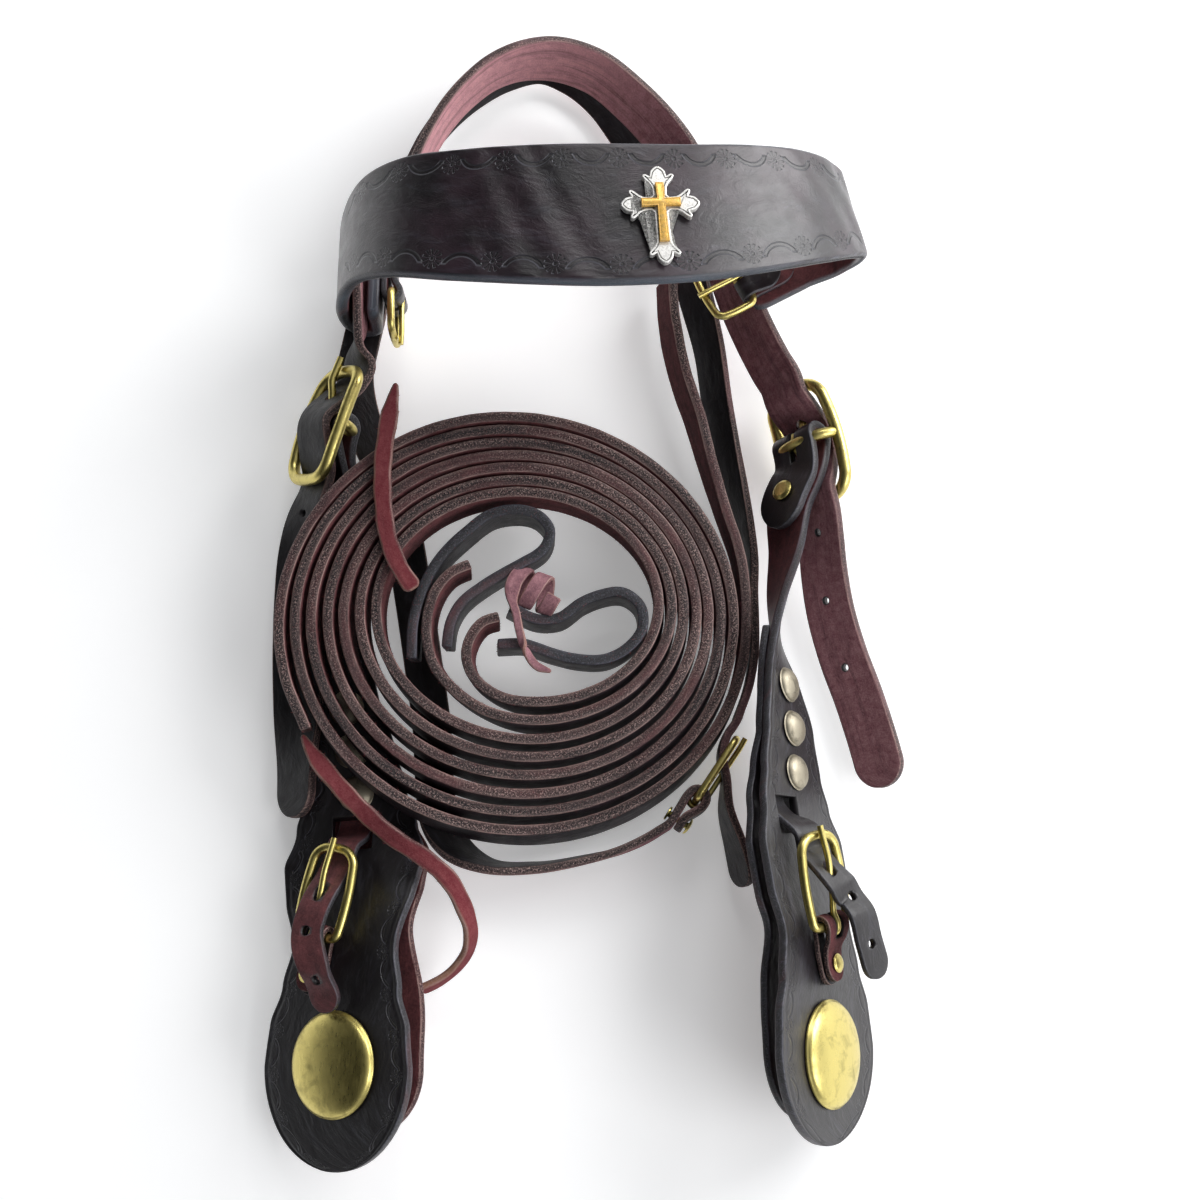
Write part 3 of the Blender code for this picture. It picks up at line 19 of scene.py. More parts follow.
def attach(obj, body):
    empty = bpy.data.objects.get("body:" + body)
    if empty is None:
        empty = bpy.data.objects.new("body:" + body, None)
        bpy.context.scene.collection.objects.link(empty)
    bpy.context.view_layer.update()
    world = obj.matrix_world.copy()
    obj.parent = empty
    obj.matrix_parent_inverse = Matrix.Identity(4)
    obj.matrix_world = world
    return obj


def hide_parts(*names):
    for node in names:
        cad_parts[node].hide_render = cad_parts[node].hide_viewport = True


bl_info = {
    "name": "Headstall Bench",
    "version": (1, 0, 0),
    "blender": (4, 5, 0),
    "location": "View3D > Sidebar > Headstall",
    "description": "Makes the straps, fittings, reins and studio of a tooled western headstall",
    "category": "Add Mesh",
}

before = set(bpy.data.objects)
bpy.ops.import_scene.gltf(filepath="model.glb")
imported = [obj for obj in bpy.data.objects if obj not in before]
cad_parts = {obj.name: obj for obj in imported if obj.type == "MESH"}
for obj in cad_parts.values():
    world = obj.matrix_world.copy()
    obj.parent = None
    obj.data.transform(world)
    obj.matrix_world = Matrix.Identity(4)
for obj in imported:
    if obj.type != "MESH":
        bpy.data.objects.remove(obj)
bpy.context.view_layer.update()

MM = 0.001
UP = Vector((0, 0, 1))
ALONG_Y = Vector((0, 1, 0))
LAYOUT = Vector((-0.08, -9.64, 2.69))

GAP = 0.3
SLOT_GAP = 0.5
HOLE_PLAY = 1.0
FLESH_BELOW = -1
FLESH_ABOVE = 1
FLESH_BOTH = 2
FLESH_NONE = 0

# A place on a strap: point, travel, width, face and distance, single or as arrays
Frame = namedtuple("Frame", "p t w n s")


def linear(red, green, blue):
    """A colour written as 0 to 255 display values, for a shader."""
    return tuple(((value / 255 + 0.055) / 1.055) ** 2.4 if value > 10 else value / 3294.6
                 for value in (red, green, blue))


# Settings that a user would change

def span(name, text, default):
    return FloatProperty(name=name, description=text, default=default, min=0.0, unit="LENGTH",
                         precision=4)


def tint(name, text, default):
    return FloatVectorProperty(name=name, description=text, default=linear(*default), size=3,
                               min=0.0, max=1.0, subtype="COLOR")


class HeadstallSizes(bpy.types.PropertyGroup):
    crown_width: span("Crown width", "Width of the crown strap", 0.019)
    crown_thick: span("Crown thickness", "Thickness of the crown strap", 0.0035)
    throat_width: span("Throatlatch width", "Width of the throatlatch", 0.014)
    throat_thick: span("Throatlatch thickness", "Thickness of the throatlatch", 0.003)
    brow_width: span("Browband width", "Width of the browband over the forehead", 0.051)
    brow_end: span("Browband end width", "Width of the browband at its ends", 0.024)
    brow_thick: span("Browband thickness", "Thickness of the browband", 0.0045)
    face_thick: span("Cheek thickness", "Thickness of a cheek's face layer", 0.0032)
    lining_thick: span("Lining thickness", "Thickness of a cheek's back layer", 0.0028)
    rein_width: span("Rein width", "Width of a rein", 0.016)
    rein_thick: span("Rein thickness", "Thickness of a rein", 0.0038)
    lace_width: span("Lace width", "Width of a lace", 0.0064)
    lace_thick: span("Lace thickness", "Thickness of a lace", 0.0026)
    billet_width: span("Billet width", "Width of a bit billet", 0.0122)
    billet_thick: span("Billet thickness", "Thickness of a bit billet", 0.0022)
    concho_radius: span("Concho radius", "Radius of a concho", 0.0178)
    spot_radius: span("Spot radius", "Radius of a domed spot", 0.00635)
    fibre_length: span("Fibre length", "Length of a loose leather fibre", 0.0007)
    fibre_seed: IntProperty(name="Fibre seed", description="Seed of the loose fibres", default=7)


class HeadstallColours(bpy.types.PropertyGroup):
    oiled: tint("Oiled face", "Near-black oiled leather of the browband", (50, 36, 44))
    # The deep oiled colour gives real darker clouds and also the painted shade in stamps and tooled
    # grooves
    oiled_deep_and_painted_shade: tint("Oiled shade", "Darker clouds in the oiled leather", (22, 17, 21))
    black: tint("Black face", "Black face of the cheeks and of the rein ends", (24, 21, 23))
    # The grey of handled leather is real bloom and scuffing, tinted blue-grey as a painted sheen;
    # it is also the painted highlight on stamp rims and on rounded edges
    worn_and_highlight: tint("Worn grey", "Grey bloom on handled leather", (98, 98, 110))
    burnished: tint("Burnished edge", "Blue-grey burnished edge", (84, 96, 108))
    inked: tint("Inked edge", "Dark inked edge of the cheeks", (44, 45, 49))
    crown_flesh: tint("Crown flesh", "Mauve flesh side of the crown strap", (112, 66, 74))
    crown_nap: tint("Crown nap", "Paler nap of the crown strap", (222, 164, 170))
    flesh: tint("Flesh side", "Burgundy flesh side", (66, 33, 37))
    flesh_pale: tint("Pale flesh", "Pink raised nap of the flesh side", (158, 88, 90))
    rein_edge: tint("Rein edge", "Brown cut edge of the reins", (54, 40, 41))
    # Rein flecks are real pale flecks in the cut edge and also the painted highlight along the
    # rounded edge of several leathers
    rein_fleck_and_highlight: tint("Rein fleck", "Pale flecks in the cut edge", (196, 164, 156))
    lace_red: tint("Lace", "Crimson of the raw laces", (106, 32, 42))
    tie: tint("Tie", "Mauve of the tie in the coil", (112, 74, 84))
    lace_tan: tint("Lace edge", "Tan cut edge of the laces", (200, 150, 118))
    brass: tint("Brass", "Polished brass", (218, 202, 124))
    nickel: tint("Nickel", "Warm nickel of the spots", (170, 162, 144))
    silver: tint("Silver", "Antiqued silver of the cross", (236, 234, 230))
    gold: tint("Gold", "Gold cross on the silver one", (232, 184, 92))


def size(name):
    """A size from the panel, in millimetres."""
    return getattr(bpy.context.scene.headstall_sizes, name) / MM


def colour(name):
    return (*getattr(bpy.context.scene.headstall_colours, name), 1.0)


# Materials

class Recipe:
    """A node material that is written out step by step."""

    def __init__(self, name):
        self.material = bpy.data.materials.new(name)
        self.material.use_nodes = True
        self.tree = self.material.node_tree
        self.shader = self.tree.nodes["Principled BSDF"]

    def add(self, kind, values, output=0, **settings):
        made = self.tree.nodes.new(kind)
        for key, value in settings.items():
            setattr(made, key, value)
        for key, value in values.items():
            self.put(made.inputs[key], value)
        return made.outputs[output]

    def put(self, socket, value):
        if isinstance(value, bpy.types.NodeSocket):
            self.tree.links.new(value, socket)
        else:
            socket.default_value = value

    def noise(self, place, scale, detail=3.0, rough=0.55, stir=0.0):
        return self.add("ShaderNodeTexNoise", {"Vector": place, "Scale": scale, "Detail": detail,
                                               "Roughness": rough, "Distortion": stir})

    def cells(self, place, scale):
        return self.add("ShaderNodeTexVoronoi", {"Vector": place, "Scale": scale})

    def stretch(self, place, scale):
        return self.add("ShaderNodeMapping", {"Vector": place, "Scale": scale})

    def ramp(self, value, low, high, out_low=0.0, out_high=1.0):
        return self.add("ShaderNodeMapRange", {"Value": value, "From Min": low, "From Max": high,
                                               "To Min": out_low, "To Max": out_high})

    def mix(self, factor, first, second):
        return self.add("ShaderNodeMix", {0: factor, 6: first, 7: second}, 2, data_type="RGBA")

    def times(self, first, second):
        return self.add("ShaderNodeMath", {0: first, 1: second}, operation="MULTIPLY")

    def plus(self, first, second):
        return self.add("ShaderNodeMath", {0: first, 1: second}, operation="ADD")

    def math(self, kind, first, second=0.0):
        return self.add("ShaderNodeMath", {0: first, 1: second}, operation=kind)

    def mask(self, name):
        return self.add("ShaderNodeAttribute", {}, 2, attribute_name=name)

    def bump(self, height, strength, depth, under=None):
        values = {"Height": height, "Strength": strength, "Distance": depth}
        if under is not None:
            values["Normal"] = under
        return self.add("ShaderNodeBump", values)

    def finish(self, base, rough, normal, **constants):
        self.put(self.shader.inputs["Base Color"], base)
        self.put(self.shader.inputs["Roughness"], rough)
        self.put(self.shader.inputs["Normal"], normal)
        for key, value in constants.items():
            self.shader.inputs[key.replace("_", " ")].default_value = value
        return self.material


def stamps(r, pitch, inset):
    """Border tooling: daisies a pitch apart, with curved bars between them that bulge inward."""
    run, edge = r.mask("run"), r.mask("edge")
    scale = pitch / 20
    half_on = r.math("FRACT", r.math("ADD", run, 0.5))
    near = r.math("MULTIPLY", r.math("SUBTRACT", half_on, 0.5), 20.0)
    rise = r.math("DIVIDE", r.math("SUBTRACT", edge, inset), scale)
    radius = r.math("SQRT", r.plus(r.times(near, near), r.times(rise, rise)))
    turn = r.math("MULTIPLY", r.math("ARCTAN2", rise, near), 11.0)
    ticks = r.ramp(r.math("COSINE", turn), -0.1, 0.35)
    ring = r.times(r.ramp(radius, 1.2, 1.5), r.ramp(radius, 3.7, 3.3))
    daisy = r.math("MAXIMUM", r.times(ticks, ring), r.ramp(radius, 0.85, 0.45))
    between = r.math("MULTIPLY", r.math("SUBTRACT", r.math("FRACT", run), 0.5), 20.0)
    drop = r.math("ADD", rise, 4.7)
    reach = r.math("SQRT", r.plus(r.times(between, between), r.times(drop, drop)))
    line = r.ramp(r.math("ABSOLUTE", r.math("SUBTRACT", reach, 6.7)), 1.0, 0.45)
    bar = r.times(line, r.ramp(rise, -2.0, -1.2))
    return r.times(r.math("MAXIMUM", daisy, bar), r.ramp(run, -0.55, -0.45))


# Pitch of the border stamps and how far they lie from the edge
BROW_TOOLING = (20.0, 6.0)
CHEEK_TOOLING = (13.5, 4.6)

# Face, shade, edge, fleck, flesh, nap, gloss, bloom, tooling and coat of each leather; shade also
# gives painted shade in tooled grooves, and fleck also gives the painted highlight along the
# rounded cut edge
LEATHERS = {
    "browband": ("oiled", "oiled_deep_and_painted_shade", "burnished", "worn_and_highlight", "flesh", "flesh_pale", 0.3, 0.25,
                 BROW_TOOLING, 0.5),
    "cheek": ("black", "oiled_deep_and_painted_shade", "inked", "worn_and_highlight", "flesh", "flesh_pale", 0.34, 0.35,
              CHEEK_TOOLING, 0.4),
    "crown": ("black", "oiled_deep_and_painted_shade", "rein_edge", "rein_fleck_and_highlight", "crown_flesh", "crown_nap", 0.4,
              0.2, None, 0.0),
    "rein": ("oiled", "oiled_deep_and_painted_shade", "rein_edge", "rein_fleck_and_highlight", "flesh", "flesh_pale", 0.5, 0.2,
             None, 0.0),
    "rein end": ("black", "oiled_deep_and_painted_shade", "inked", "worn_and_highlight", "flesh", "flesh_pale", 0.45, 0.3, None,
                 0.0),
    "lining": ("black", "oiled_deep_and_painted_shade", "flesh", "rein_fleck_and_highlight", "flesh", "flesh_pale", 0.5, 0.15,
               None, 0.0),
    "lace": ("lace_red", "flesh", "lace_tan", "rein_fleck_and_highlight", "lace_red", "flesh_pale", 0.6, 0.1,
             None, 0.0),
    "tie": ("tie", "crown_flesh", "lace_tan", "rein_fleck_and_highlight", "tie", "crown_nap", 0.5, 0.1, None,
            0.0),
}


@cache
def leather(kind):
    """Leather whose face, cut edge and flesh side follow the strap's own masks."""
    face, shade, edge, fleck_and_highlight, flesh, nap, gloss, bloom, tooling, coat = LEATHERS[kind]
    r = Recipe(kind + " leather")
    spot = r.add("ShaderNodeUVMap", {}, uv_map="strap")
    clouds = r.ramp(r.noise(spot, 42, 4, 0.6, 0.4), 0.38, 0.66)
    skin = r.mix(clouds, colour(shade), colour(face))
    scuffs = r.noise(r.stretch(spot, (60, 220, 1)), 1.0, 6, 0.7, 1.2)
    skin = r.mix(r.times(r.ramp(scuffs, 0.52, 0.8), bloom), skin, colour("worn_and_highlight"))
    scratches = r.ramp(r.noise(r.stretch(spot, (130, 900, 1)), 1.0, 5, 0.7, 2.2), 0.66, 0.76)
    skin = r.mix(r.times(scratches, 0.25), skin, colour("worn_and_highlight"))
    grain = r.cells(spot, 1500)
    fuzz = r.noise(spot, 1500, 6, 0.8, 0.6)
    mottle = r.noise(spot, 260, 5, 0.7, 0.5)
    streaks = r.noise(r.stretch(spot, (24, 420, 1)), 1.0, 5, 0.65, 1.0)
    tufts = r.times(r.ramp(fuzz, 0.36, 0.72), 0.4)
    raised = r.plus(tufts, r.times(r.ramp(mottle, 0.38, 0.68), 0.3))
    raised = r.math("MINIMUM", r.plus(raised, r.times(r.mask("pale"), 0.6)), 1.0)
    rough_side = r.mix(raised, colour(flesh), colour(nap))
    rough_side = r.mix(r.ramp(streaks, 0.5, 0.72, 0.0, 0.5), rough_side, colour(shade))
    specks = r.ramp(r.noise(spot, 1500, 3, 0.9), 0.53, 0.6)
    bands = r.ramp(r.noise(r.stretch(spot, (12, 300, 1)), 1.0, 4, 0.6), 0.4, 0.62, 0.3, 1.0)
    dusk = r.ramp(r.noise(r.stretch(spot, (9, 40, 1)), 1.0, 3), 0.4, 0.6)
    cut = r.mix(dusk, colour(shade), colour(edge))
    cut = r.mix(r.times(specks, bands), cut, colour(fleck_and_highlight))
    redness = r.ramp(r.noise(r.stretch(spot, (17, 90, 1)), 1.0, 4), 0.54, 0.7, 0.0, 0.5)
    cut = r.mix(redness, cut, rough_side)
    # Painted highlight: the middle of the rounded cut edge is lightened in wisps with the pale edge
    # colour, standing in for light along the arris
    rim = r.mask("rim")
    arris = r.times(r.ramp(rim, 0.25, 0.6), r.ramp(rim, 0.98, 0.75))
    wisps = r.noise(r.stretch(spot, (40, 500, 1)), 1.0, 5, 0.7)
    lit = r.times(arris, r.ramp(wisps, 0.42, 0.58, 0.05, 0.85))
    cut = r.mix(lit, cut, colour(fleck_and_highlight))
    back = r.mask("flesh")
    base = r.mix(back, skin, rough_side)
    base = r.mix(rim, base, cut)
    # Painted shade: tooled grooves are darkened towards the shade colour
    base = r.mix(r.times(r.mask("pressed"), 0.6), base, colour(shade))
    rough = r.ramp(r.noise(spot, 160, 3), 0.3, 0.7, gloss, gloss + 0.16)
    rough = r.add("ShaderNodeMix", {0: back, 2: rough, 3: 0.92})
    rough = r.add("ShaderNodeMix", {0: rim, 2: rough, 3: 0.5})
    fine = r.bump(grain, 0.22, 0.00012)
    creases = r.ramp(r.noise(r.stretch(spot, (90, 150, 1)), 1.0, 5, 0.62, 1.8), 0.35, 0.7)
    worked = r.bump(creases, 0.3, 0.0005, fine)
    # Painted shade and highlight: stamps are darkened with the deep oiled colour and their rims,
    # here in raised, lightened with the grey of handled leather; the bump gives their real relief
    if tooling:
        stamped = stamps(r, *tooling)
        raised = r.times(stamped, r.math("SUBTRACT", 1.0, stamped))
        base = r.mix(r.times(stamped, 0.85), base, colour("oiled_deep_and_painted_shade"))
        base = r.mix(r.math("MULTIPLY", raised, 2.4), base, colour("worn_and_highlight"))
        worked = r.bump(r.math("SUBTRACT", 1.0, stamped), 1.0, 0.0022, worked)
    coarse = r.times(fuzz, r.plus(back, rim))
    normal = r.bump(coarse, 0.8, 0.0005, worked)
    return r.finish(base, rough, normal, Specular_IOR_Level=0.4, Coat_Weight=coat,
                    Coat_Roughness=0.34)


@cache
def metal(name, base, tarnish, gloss):
    """Cast or turned metal with fine scratches, clouds of tarnish and small dents."""
    r = Recipe(name)
    place = r.add("ShaderNodeTexCoord", {}, "Object")
    patches = r.ramp(r.noise(place, 190, 5, 0.65, 0.5), 0.5, 0.72, 0.0, 0.75)
    shade = tuple(value * tarnish for value in colour(base)[:3]) + (1.0,)
    tone = r.mix(patches, colour(base), shade)
    scratch = r.noise(r.stretch(place, (2400, 260, 700)), 1.0, 3, 0.7)
    rough = r.plus(r.ramp(scratch, 0.35, 0.7, gloss, gloss + 0.14), r.times(patches, 0.2))
    dents = r.noise(place, 260, 3, 0.5)
    normal = r.bump(dents, 0.12, 0.0006, r.bump(scratch, 0.08, 0.0001))
    return r.finish(tone, rough, normal, Metallic=1.0)


@cache
def aged_silver(name, base):
    """Silver plate that is bright on the high places and black in the hollows."""
    r = Recipe(name)
    place = r.add("ShaderNodeTexCoord", {}, "Object")
    clouds = r.ramp(r.noise(place, 600, 4, 0.6), 0.5, 0.75, 0.0, 0.35)
    hollow = r.mask("hollow")
    tone = r.mix(clouds, colour(base), linear_four(150, 146, 138))
    tone = r.mix(hollow, tone, linear_four(30, 28, 30))
    rough = r.ramp(r.noise(place, 900, 2), 0.3, 0.7, 0.2, 0.36)
    normal = r.bump(r.noise(place, 1400, 3), 0.15, 0.0001)
    return r.finish(tone, rough, normal, Metallic=0.4)


def linear_four(red, green, blue):
    return (*linear(red, green, blue), 1.0)


def brass():
    return metal("brass", "brass", 0.5, 0.26)


def nickel():
    return metal("nickel", "nickel", 0.22, 0.46)


# Routes

def blend_rows(rows, step):
    """Smooth rows of numbers through the given ones; the first three are a place."""
    count = len(rows)
    chord = [math.dist(rows[i][:3], rows[i + 1][:3]) for i in range(count - 1)]
    slope = [[(b - a) / chord[i] for a, b in zip(rows[i], rows[i + 1])] for i in range(count - 1)]
    speed = [slope[0]]
    for i in range(1, count - 1):
        near, far = chord[i - 1], chord[i]
        speed.append([(a * far + b * near) / (near + far) for a, b in zip(slope[i - 1], slope[i])])
    speed.append(slope[-1])
    out = []
    for i in range(count - 1):
        pieces = max(1, math.ceil(chord[i] / step))
        for k in range(pieces):
            f = k / pieces
            h00 = 2 * f ** 3 - 3 * f ** 2 + 1
            h10 = f ** 3 - 2 * f ** 2 + f
            h01 = 3 * f ** 2 - 2 * f ** 3
            h11 = f ** 3 - f ** 2
            out.append([h00 * a + h10 * chord[i] * u + h01 * b + h11 * chord[i] * v
                        for a, u, b, v in zip(rows[i], speed[i], rows[i + 1], speed[i + 1])])
    out.append(list(rows[-1]))
    return out


def frames_from(points, widths):
    """Frames along points, each with its width direction squared to the travel."""
    frames = []
    run = 0.0
    for i, point in enumerate(points):
        ahead = points[min(i + 1, len(points) - 1)]
        behind = points[max(i - 1, 0)]
        travel = (ahead - behind).normalized()
        wide = (widths[i] - travel * widths[i].dot(travel)).normalized()
        if i:
            run += (point - points[i - 1]).length
        frames.append(Frame(point, travel, wide, travel.cross(wide), run))
    return frames


def strap_frames(stations, ref=UP, step=2.0):
    """Frames along a route of (x, y, z, lean) stations."""
    rows = blend_rows(stations, step)
    points = [Vector(row[:3]) for row in rows]
    widths = []
    for i, row in enumerate(rows):
        travel = (points[min(i + 1, len(rows) - 1)] - points[max(i - 1, 0)]).normalized()
        side = ref.cross(travel).normalized()
        lean = math.radians(row[3])
        widths.append(side * math.cos(lean) + travel.cross(side) * math.sin(lean))
    return frames_from(points, widths)


def frames_of_rows(rows, step):
    """Frames along (point, width) rows, smoothed."""
    rows = blend_rows([(*point, *wide) for point, wide in rows], step)
    return frames_from([Vector(row[:3]) for row in rows], [Vector(row[3:]) for row in rows])


def frame_at(frames, s):
    """The frame at a distance along the strap."""
    s = min(max(s, frames[0].s), frames[-1].s)
    for a, b in zip(frames, frames[1:]):
        if s <= b.s:
            f = (s - a.s) / max(b.s - a.s, 1e-9)
            travel = a.t.lerp(b.t, f).normalized()
            wide = a.w.lerp(b.w, f)
            wide = (wide - travel * wide.dot(travel)).normalized()
            return Frame(a.p.lerp(b.p, f), travel, wide, travel.cross(wide), s)
    return frames[-1]


def path_of(frames, stations):
    """The frames as smooth rows of numbers at each of the stations."""
    s = np.array([f.s for f in frames])
    parts = []
    for key in "ptw":
        rows = np.array([getattr(f, key)[:] for f in frames])
        parts.append(np.stack([np.interp(stations, s, rows[:, k]) for k in range(3)], 1))
    place, travel, wide = parts
    travel /= np.linalg.norm(travel, axis=1)[:, None]
    wide -= travel * (wide * travel).sum(1)[:, None]
    wide /= np.linalg.norm(wide, axis=1)[:, None]
    return Frame(place, travel, wide, np.cross(travel, wide), stations)


def place(frame_, a=0.0, v=0.0, n=0.0):
    """A point near a frame: a along the strap, v across it and n above its middle."""
    return frame_.p + frame_.t * a + frame_.w * v + frame_.n * n


def in_metres(point):
    return (Vector(point) + LAYOUT) * MM


def matrix_of(frame_, v=0.0, n=0.0):
    """World matrix with X along the strap, Y across it and Z out of its face."""
    rotation = Matrix((frame_.t, frame_.w, frame_.n)).transposed().to_4x4()
    return Matrix.Translation(in_metres(place(frame_, 0, v, n))) @ rotation


def metre_matrix(matrix):
    """The same placing with its origin in metres."""
    out = matrix.copy()
    out.translation = in_metres(matrix.translation)
    return out


def local(matrix, a, v, n):
    return matrix @ Vector((a, v, n))


def smooth_share(value):
    value = np.clip(value, 0.0, 1.0)
    return value * value * (3 - 2 * value)


def lookup(pairs, s):
    """A smooth value between named pairs."""
    if s <= pairs[0][0]:
        return pairs[0][1]
    for (a, low), (b, high) in zip(pairs, pairs[1:]):
        if s <= b:
            f = (s - a) / (b - a)
            f = f * f * (3 - 2 * f) if abs(high - low) > 2.5 else f
            return low + (high - low) * f
    return pairs[-1][1]


# Straps

CORNER_STEPS = 4


def round_half(s, half, start, end, round_start, round_tail):
    """Half widths near ends that are cut round."""
    room = np.full(len(s), 1e9)
    if round_start:
        room = np.minimum(room, s - start)
    if round_tail:
        room = np.minimum(room, end - s)
    room = np.clip(room, 0.02 * half, half)
    return np.sqrt(np.maximum(half ** 2 - (half - room) ** 2, 0))


def stations_along(start, end, step, near_start, near_end):
    """Places along a strap, closer together where an end is rounded."""
    marks = [np.arange(start, end, step), [start, end]]
    bend = np.radians(np.linspace(0, 90, 14))
    marks.append(start + near_start * (1 - np.cos(bend)))
    marks.append(end - near_end * (1 - np.cos(bend)))
    marks = np.unique(np.clip(np.concatenate(marks), start, end).round(3))
    return marks[np.concatenate([[True], np.diff(marks) > 0.02])]


def section(columns, under):
    """A strap's section as (share of flat width, side, height share, rim, flesh above)."""
    turn = np.radians(np.linspace(90, 0, CORNER_STEPS + 1))
    top = [(u, 0.0, 1.0, 0.0, 1) for u in np.linspace(-1, 1, columns)]
    right = [(1.0, math.cos(a), math.sin(a), math.cos(a), 1) for a in turn[1:]]
    right += [(1.0, math.cos(a), -math.sin(a), math.cos(a), 0) for a in turn[::-1][:-1]]
    low = [(u, 0.0, -1.0, 0.0, 0) for u in np.linspace(1, -1, under)]
    left = [(-1.0, -math.cos(a), -math.sin(a), math.cos(a), 0) for a in turn[1:]]
    left += [(-1.0, -math.cos(a), math.sin(a), math.cos(a), 1) for a in turn[::-1][:-1]]
    return np.array(top + right + low + left)


def strap(name, frames, half, thick, material, flesh=FLESH_BELOW, step=0.9, across=0.9,
          corner=0.8, relief=None, tooled=None, pale=None, round_start=False, round_tail=False,
          sway=0.12):
    """A strap with rounded edges; its masks tell face, flesh side, rim, and the grooves that get
    painted shade.
    """
    start, end = frames[0].s, frames[-1].s
    widest = max(float(half(np.array([s]))[0]) for s in np.linspace(start, end, 60))
    s = stations_along(start, end, step, widest if round_start else 1.0,
                       widest if round_tail else 1.0)
    path = path_of(frames, s)
    wide = np.minimum(half(s), round_half(s, widest, start, end, round_start, round_tail)
                      if round_start or round_tail else 1e9)
    columns = max(6, math.ceil(2 * widest / across) + 1)
    form = section(columns, max(5, columns // 3))
    room = np.clip(np.minimum(s - start, end - s), 0.0, corner)
    inset = corner - np.sqrt(corner ** 2 - (corner - room) ** 2)
    wide = np.maximum(wide - inset, 0.05)
    depth = np.maximum(thick / 2 - inset * 0.85, 0.08)
    bend = np.minimum(np.minimum(corner, depth * 0.95), wide * 0.9)
    flat = (wide - bend)[:, None]
    v = form[:, 0][None, :] * flat + form[:, 1][None, :] * bend[:, None]
    height = form[:, 2][None, :]
    n = np.sign(height) * (depth - bend)[:, None] + height * bend[:, None]
    grid_s = np.repeat(s[:, None], len(form), 1)
    above = (form[:, 2] > 0.98)[None, :] & np.ones_like(n, bool)
    pressed = np.zeros_like(n)
    wave = np.sin(grid_s / 17.0 + 1.3) + np.sin(grid_s / 7.3 + v / 9.0) * 0.6
    n = n + sway * 0.5 * wave * smooth_share(room / 6.0)[:, None]
    # The relief gives a lift of the face and how much painted shade darkens it
    if relief:
        lift, pressed = relief(grid_s, v)
        n = n + np.where(above, lift, 0.0)
        pressed = np.where(above, pressed, 0.0)
    spots = path.p[:, None, :] + path.w[:, None, :] * v[..., None]
    spots = (spots + path.n[:, None, :] * n[..., None] + np.array(LAYOUT)) * MM
    rows, ring = n.shape
    i = np.arange(rows - 1)[:, None] * ring
    j = np.arange(ring)[None, :]
    k = (j + 1) % ring
    faces = np.stack([i + j, i + ring + j, i + ring + k, i + k], -1).reshape(-1, 4)
    mesh = bpy.data.meshes.new(name)
    caps = [list(range(ring)), list(range((rows - 1) * ring, rows * ring))[::-1]]
    mesh.from_pydata(spots.reshape(-1, 3).tolist(), [], faces.tolist() + caps)
    around = np.zeros((rows, ring + 1))
    gap = np.hypot(np.diff(v, axis=1, append=v[:, :1]), np.diff(n, axis=1, append=n[:, :1]))
    around[:, 1:] = np.cumsum(gap, 1)
    row_of = np.repeat(np.arange(rows - 1), ring)
    col_of = np.tile(np.arange(ring), rows - 1)
    uv = np.stack([np.stack([s[row_of], around[row_of, col_of]], 1),
                   np.stack([s[row_of + 1], around[row_of + 1, col_of]], 1),
                   np.stack([s[row_of + 1], around[row_of + 1, col_of + 1]], 1),
                   np.stack([s[row_of], around[row_of, col_of + 1]], 1)], 1).reshape(-1, 2)
    uv = np.vstack([uv, np.zeros((2 * ring, 2))]) * MM
    layer = mesh.uv_layers.new(name="strap")
    layer.data.foreach_set("uv", uv.astype(np.float32).ravel())
    sides = {FLESH_BELOW: (0.0, 1.0), FLESH_ABOVE: (1.0, 0.0), FLESH_BOTH: (1.0, 1.0),
             FLESH_NONE: (0.0, 0.0)}[flesh]
    raw = np.where(form[:, 4] > 0.5, sides[0], sides[1])
    near_end = 1 - smooth_share(room / corner)
    rim = np.maximum(form[:, 3][None, :], near_end[:, None] * 0.9)
    run_marks = np.full(n.shape, -9.0)
    if tooled:
        first, last, pitch = tooled
        inside = above & (grid_s > first - pitch / 2) & (grid_s < last + pitch / 2)
        run_marks = np.where(inside, (grid_s - first) / pitch, -9.0)
    faded = pale(grid_s) if pale else np.zeros_like(n)
    for mask, values in (("flesh", np.broadcast_to(raw, n.shape)), ("rim", rim), ("pale", faded),
                         ("pressed", pressed), ("run", run_marks),
                         ("edge", wide[:, None] - np.abs(v))):
        store(mesh, mask, values)
    mesh.shade_smooth()
    mesh.materials.append(material)
    return link(name, mesh)


def store(mesh, name, values, kind="FLOAT", key="value"):
    """Keep a value for each point of a mesh."""
    made = mesh.attributes.new(name, kind, "POINT")
    made.data.foreach_set(key, np.ascontiguousarray(values, np.float32).ravel())


def link(name, mesh):
    made = bpy.data.objects.new(name, mesh)
    bpy.context.scene.collection.objects.link(made)
    return made


def settle(piece, matrix=None):
    """Put the placing of a piece into its mesh."""
    if matrix is not None:
        piece.data.transform(matrix)
        if matrix.determinant() < 0:
            piece.data.flip_normals()
    piece.matrix_world = Matrix.Identity(4)
    return piece


def seat(piece, body, slot, *nodes):
    """Let a finished piece stand for its solid and move with its body."""
    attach(piece, body)
    if nodes:
        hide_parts(*nodes)
    return piece


def evaluated_mesh(piece):
    bpy.context.view_layer.update()
    graph = bpy.context.evaluated_depsgraph_get()
    return bpy.data.meshes.new_from_object(piece.evaluated_get(graph), depsgraph=graph,
                                           preserve_all_data_layers=True)


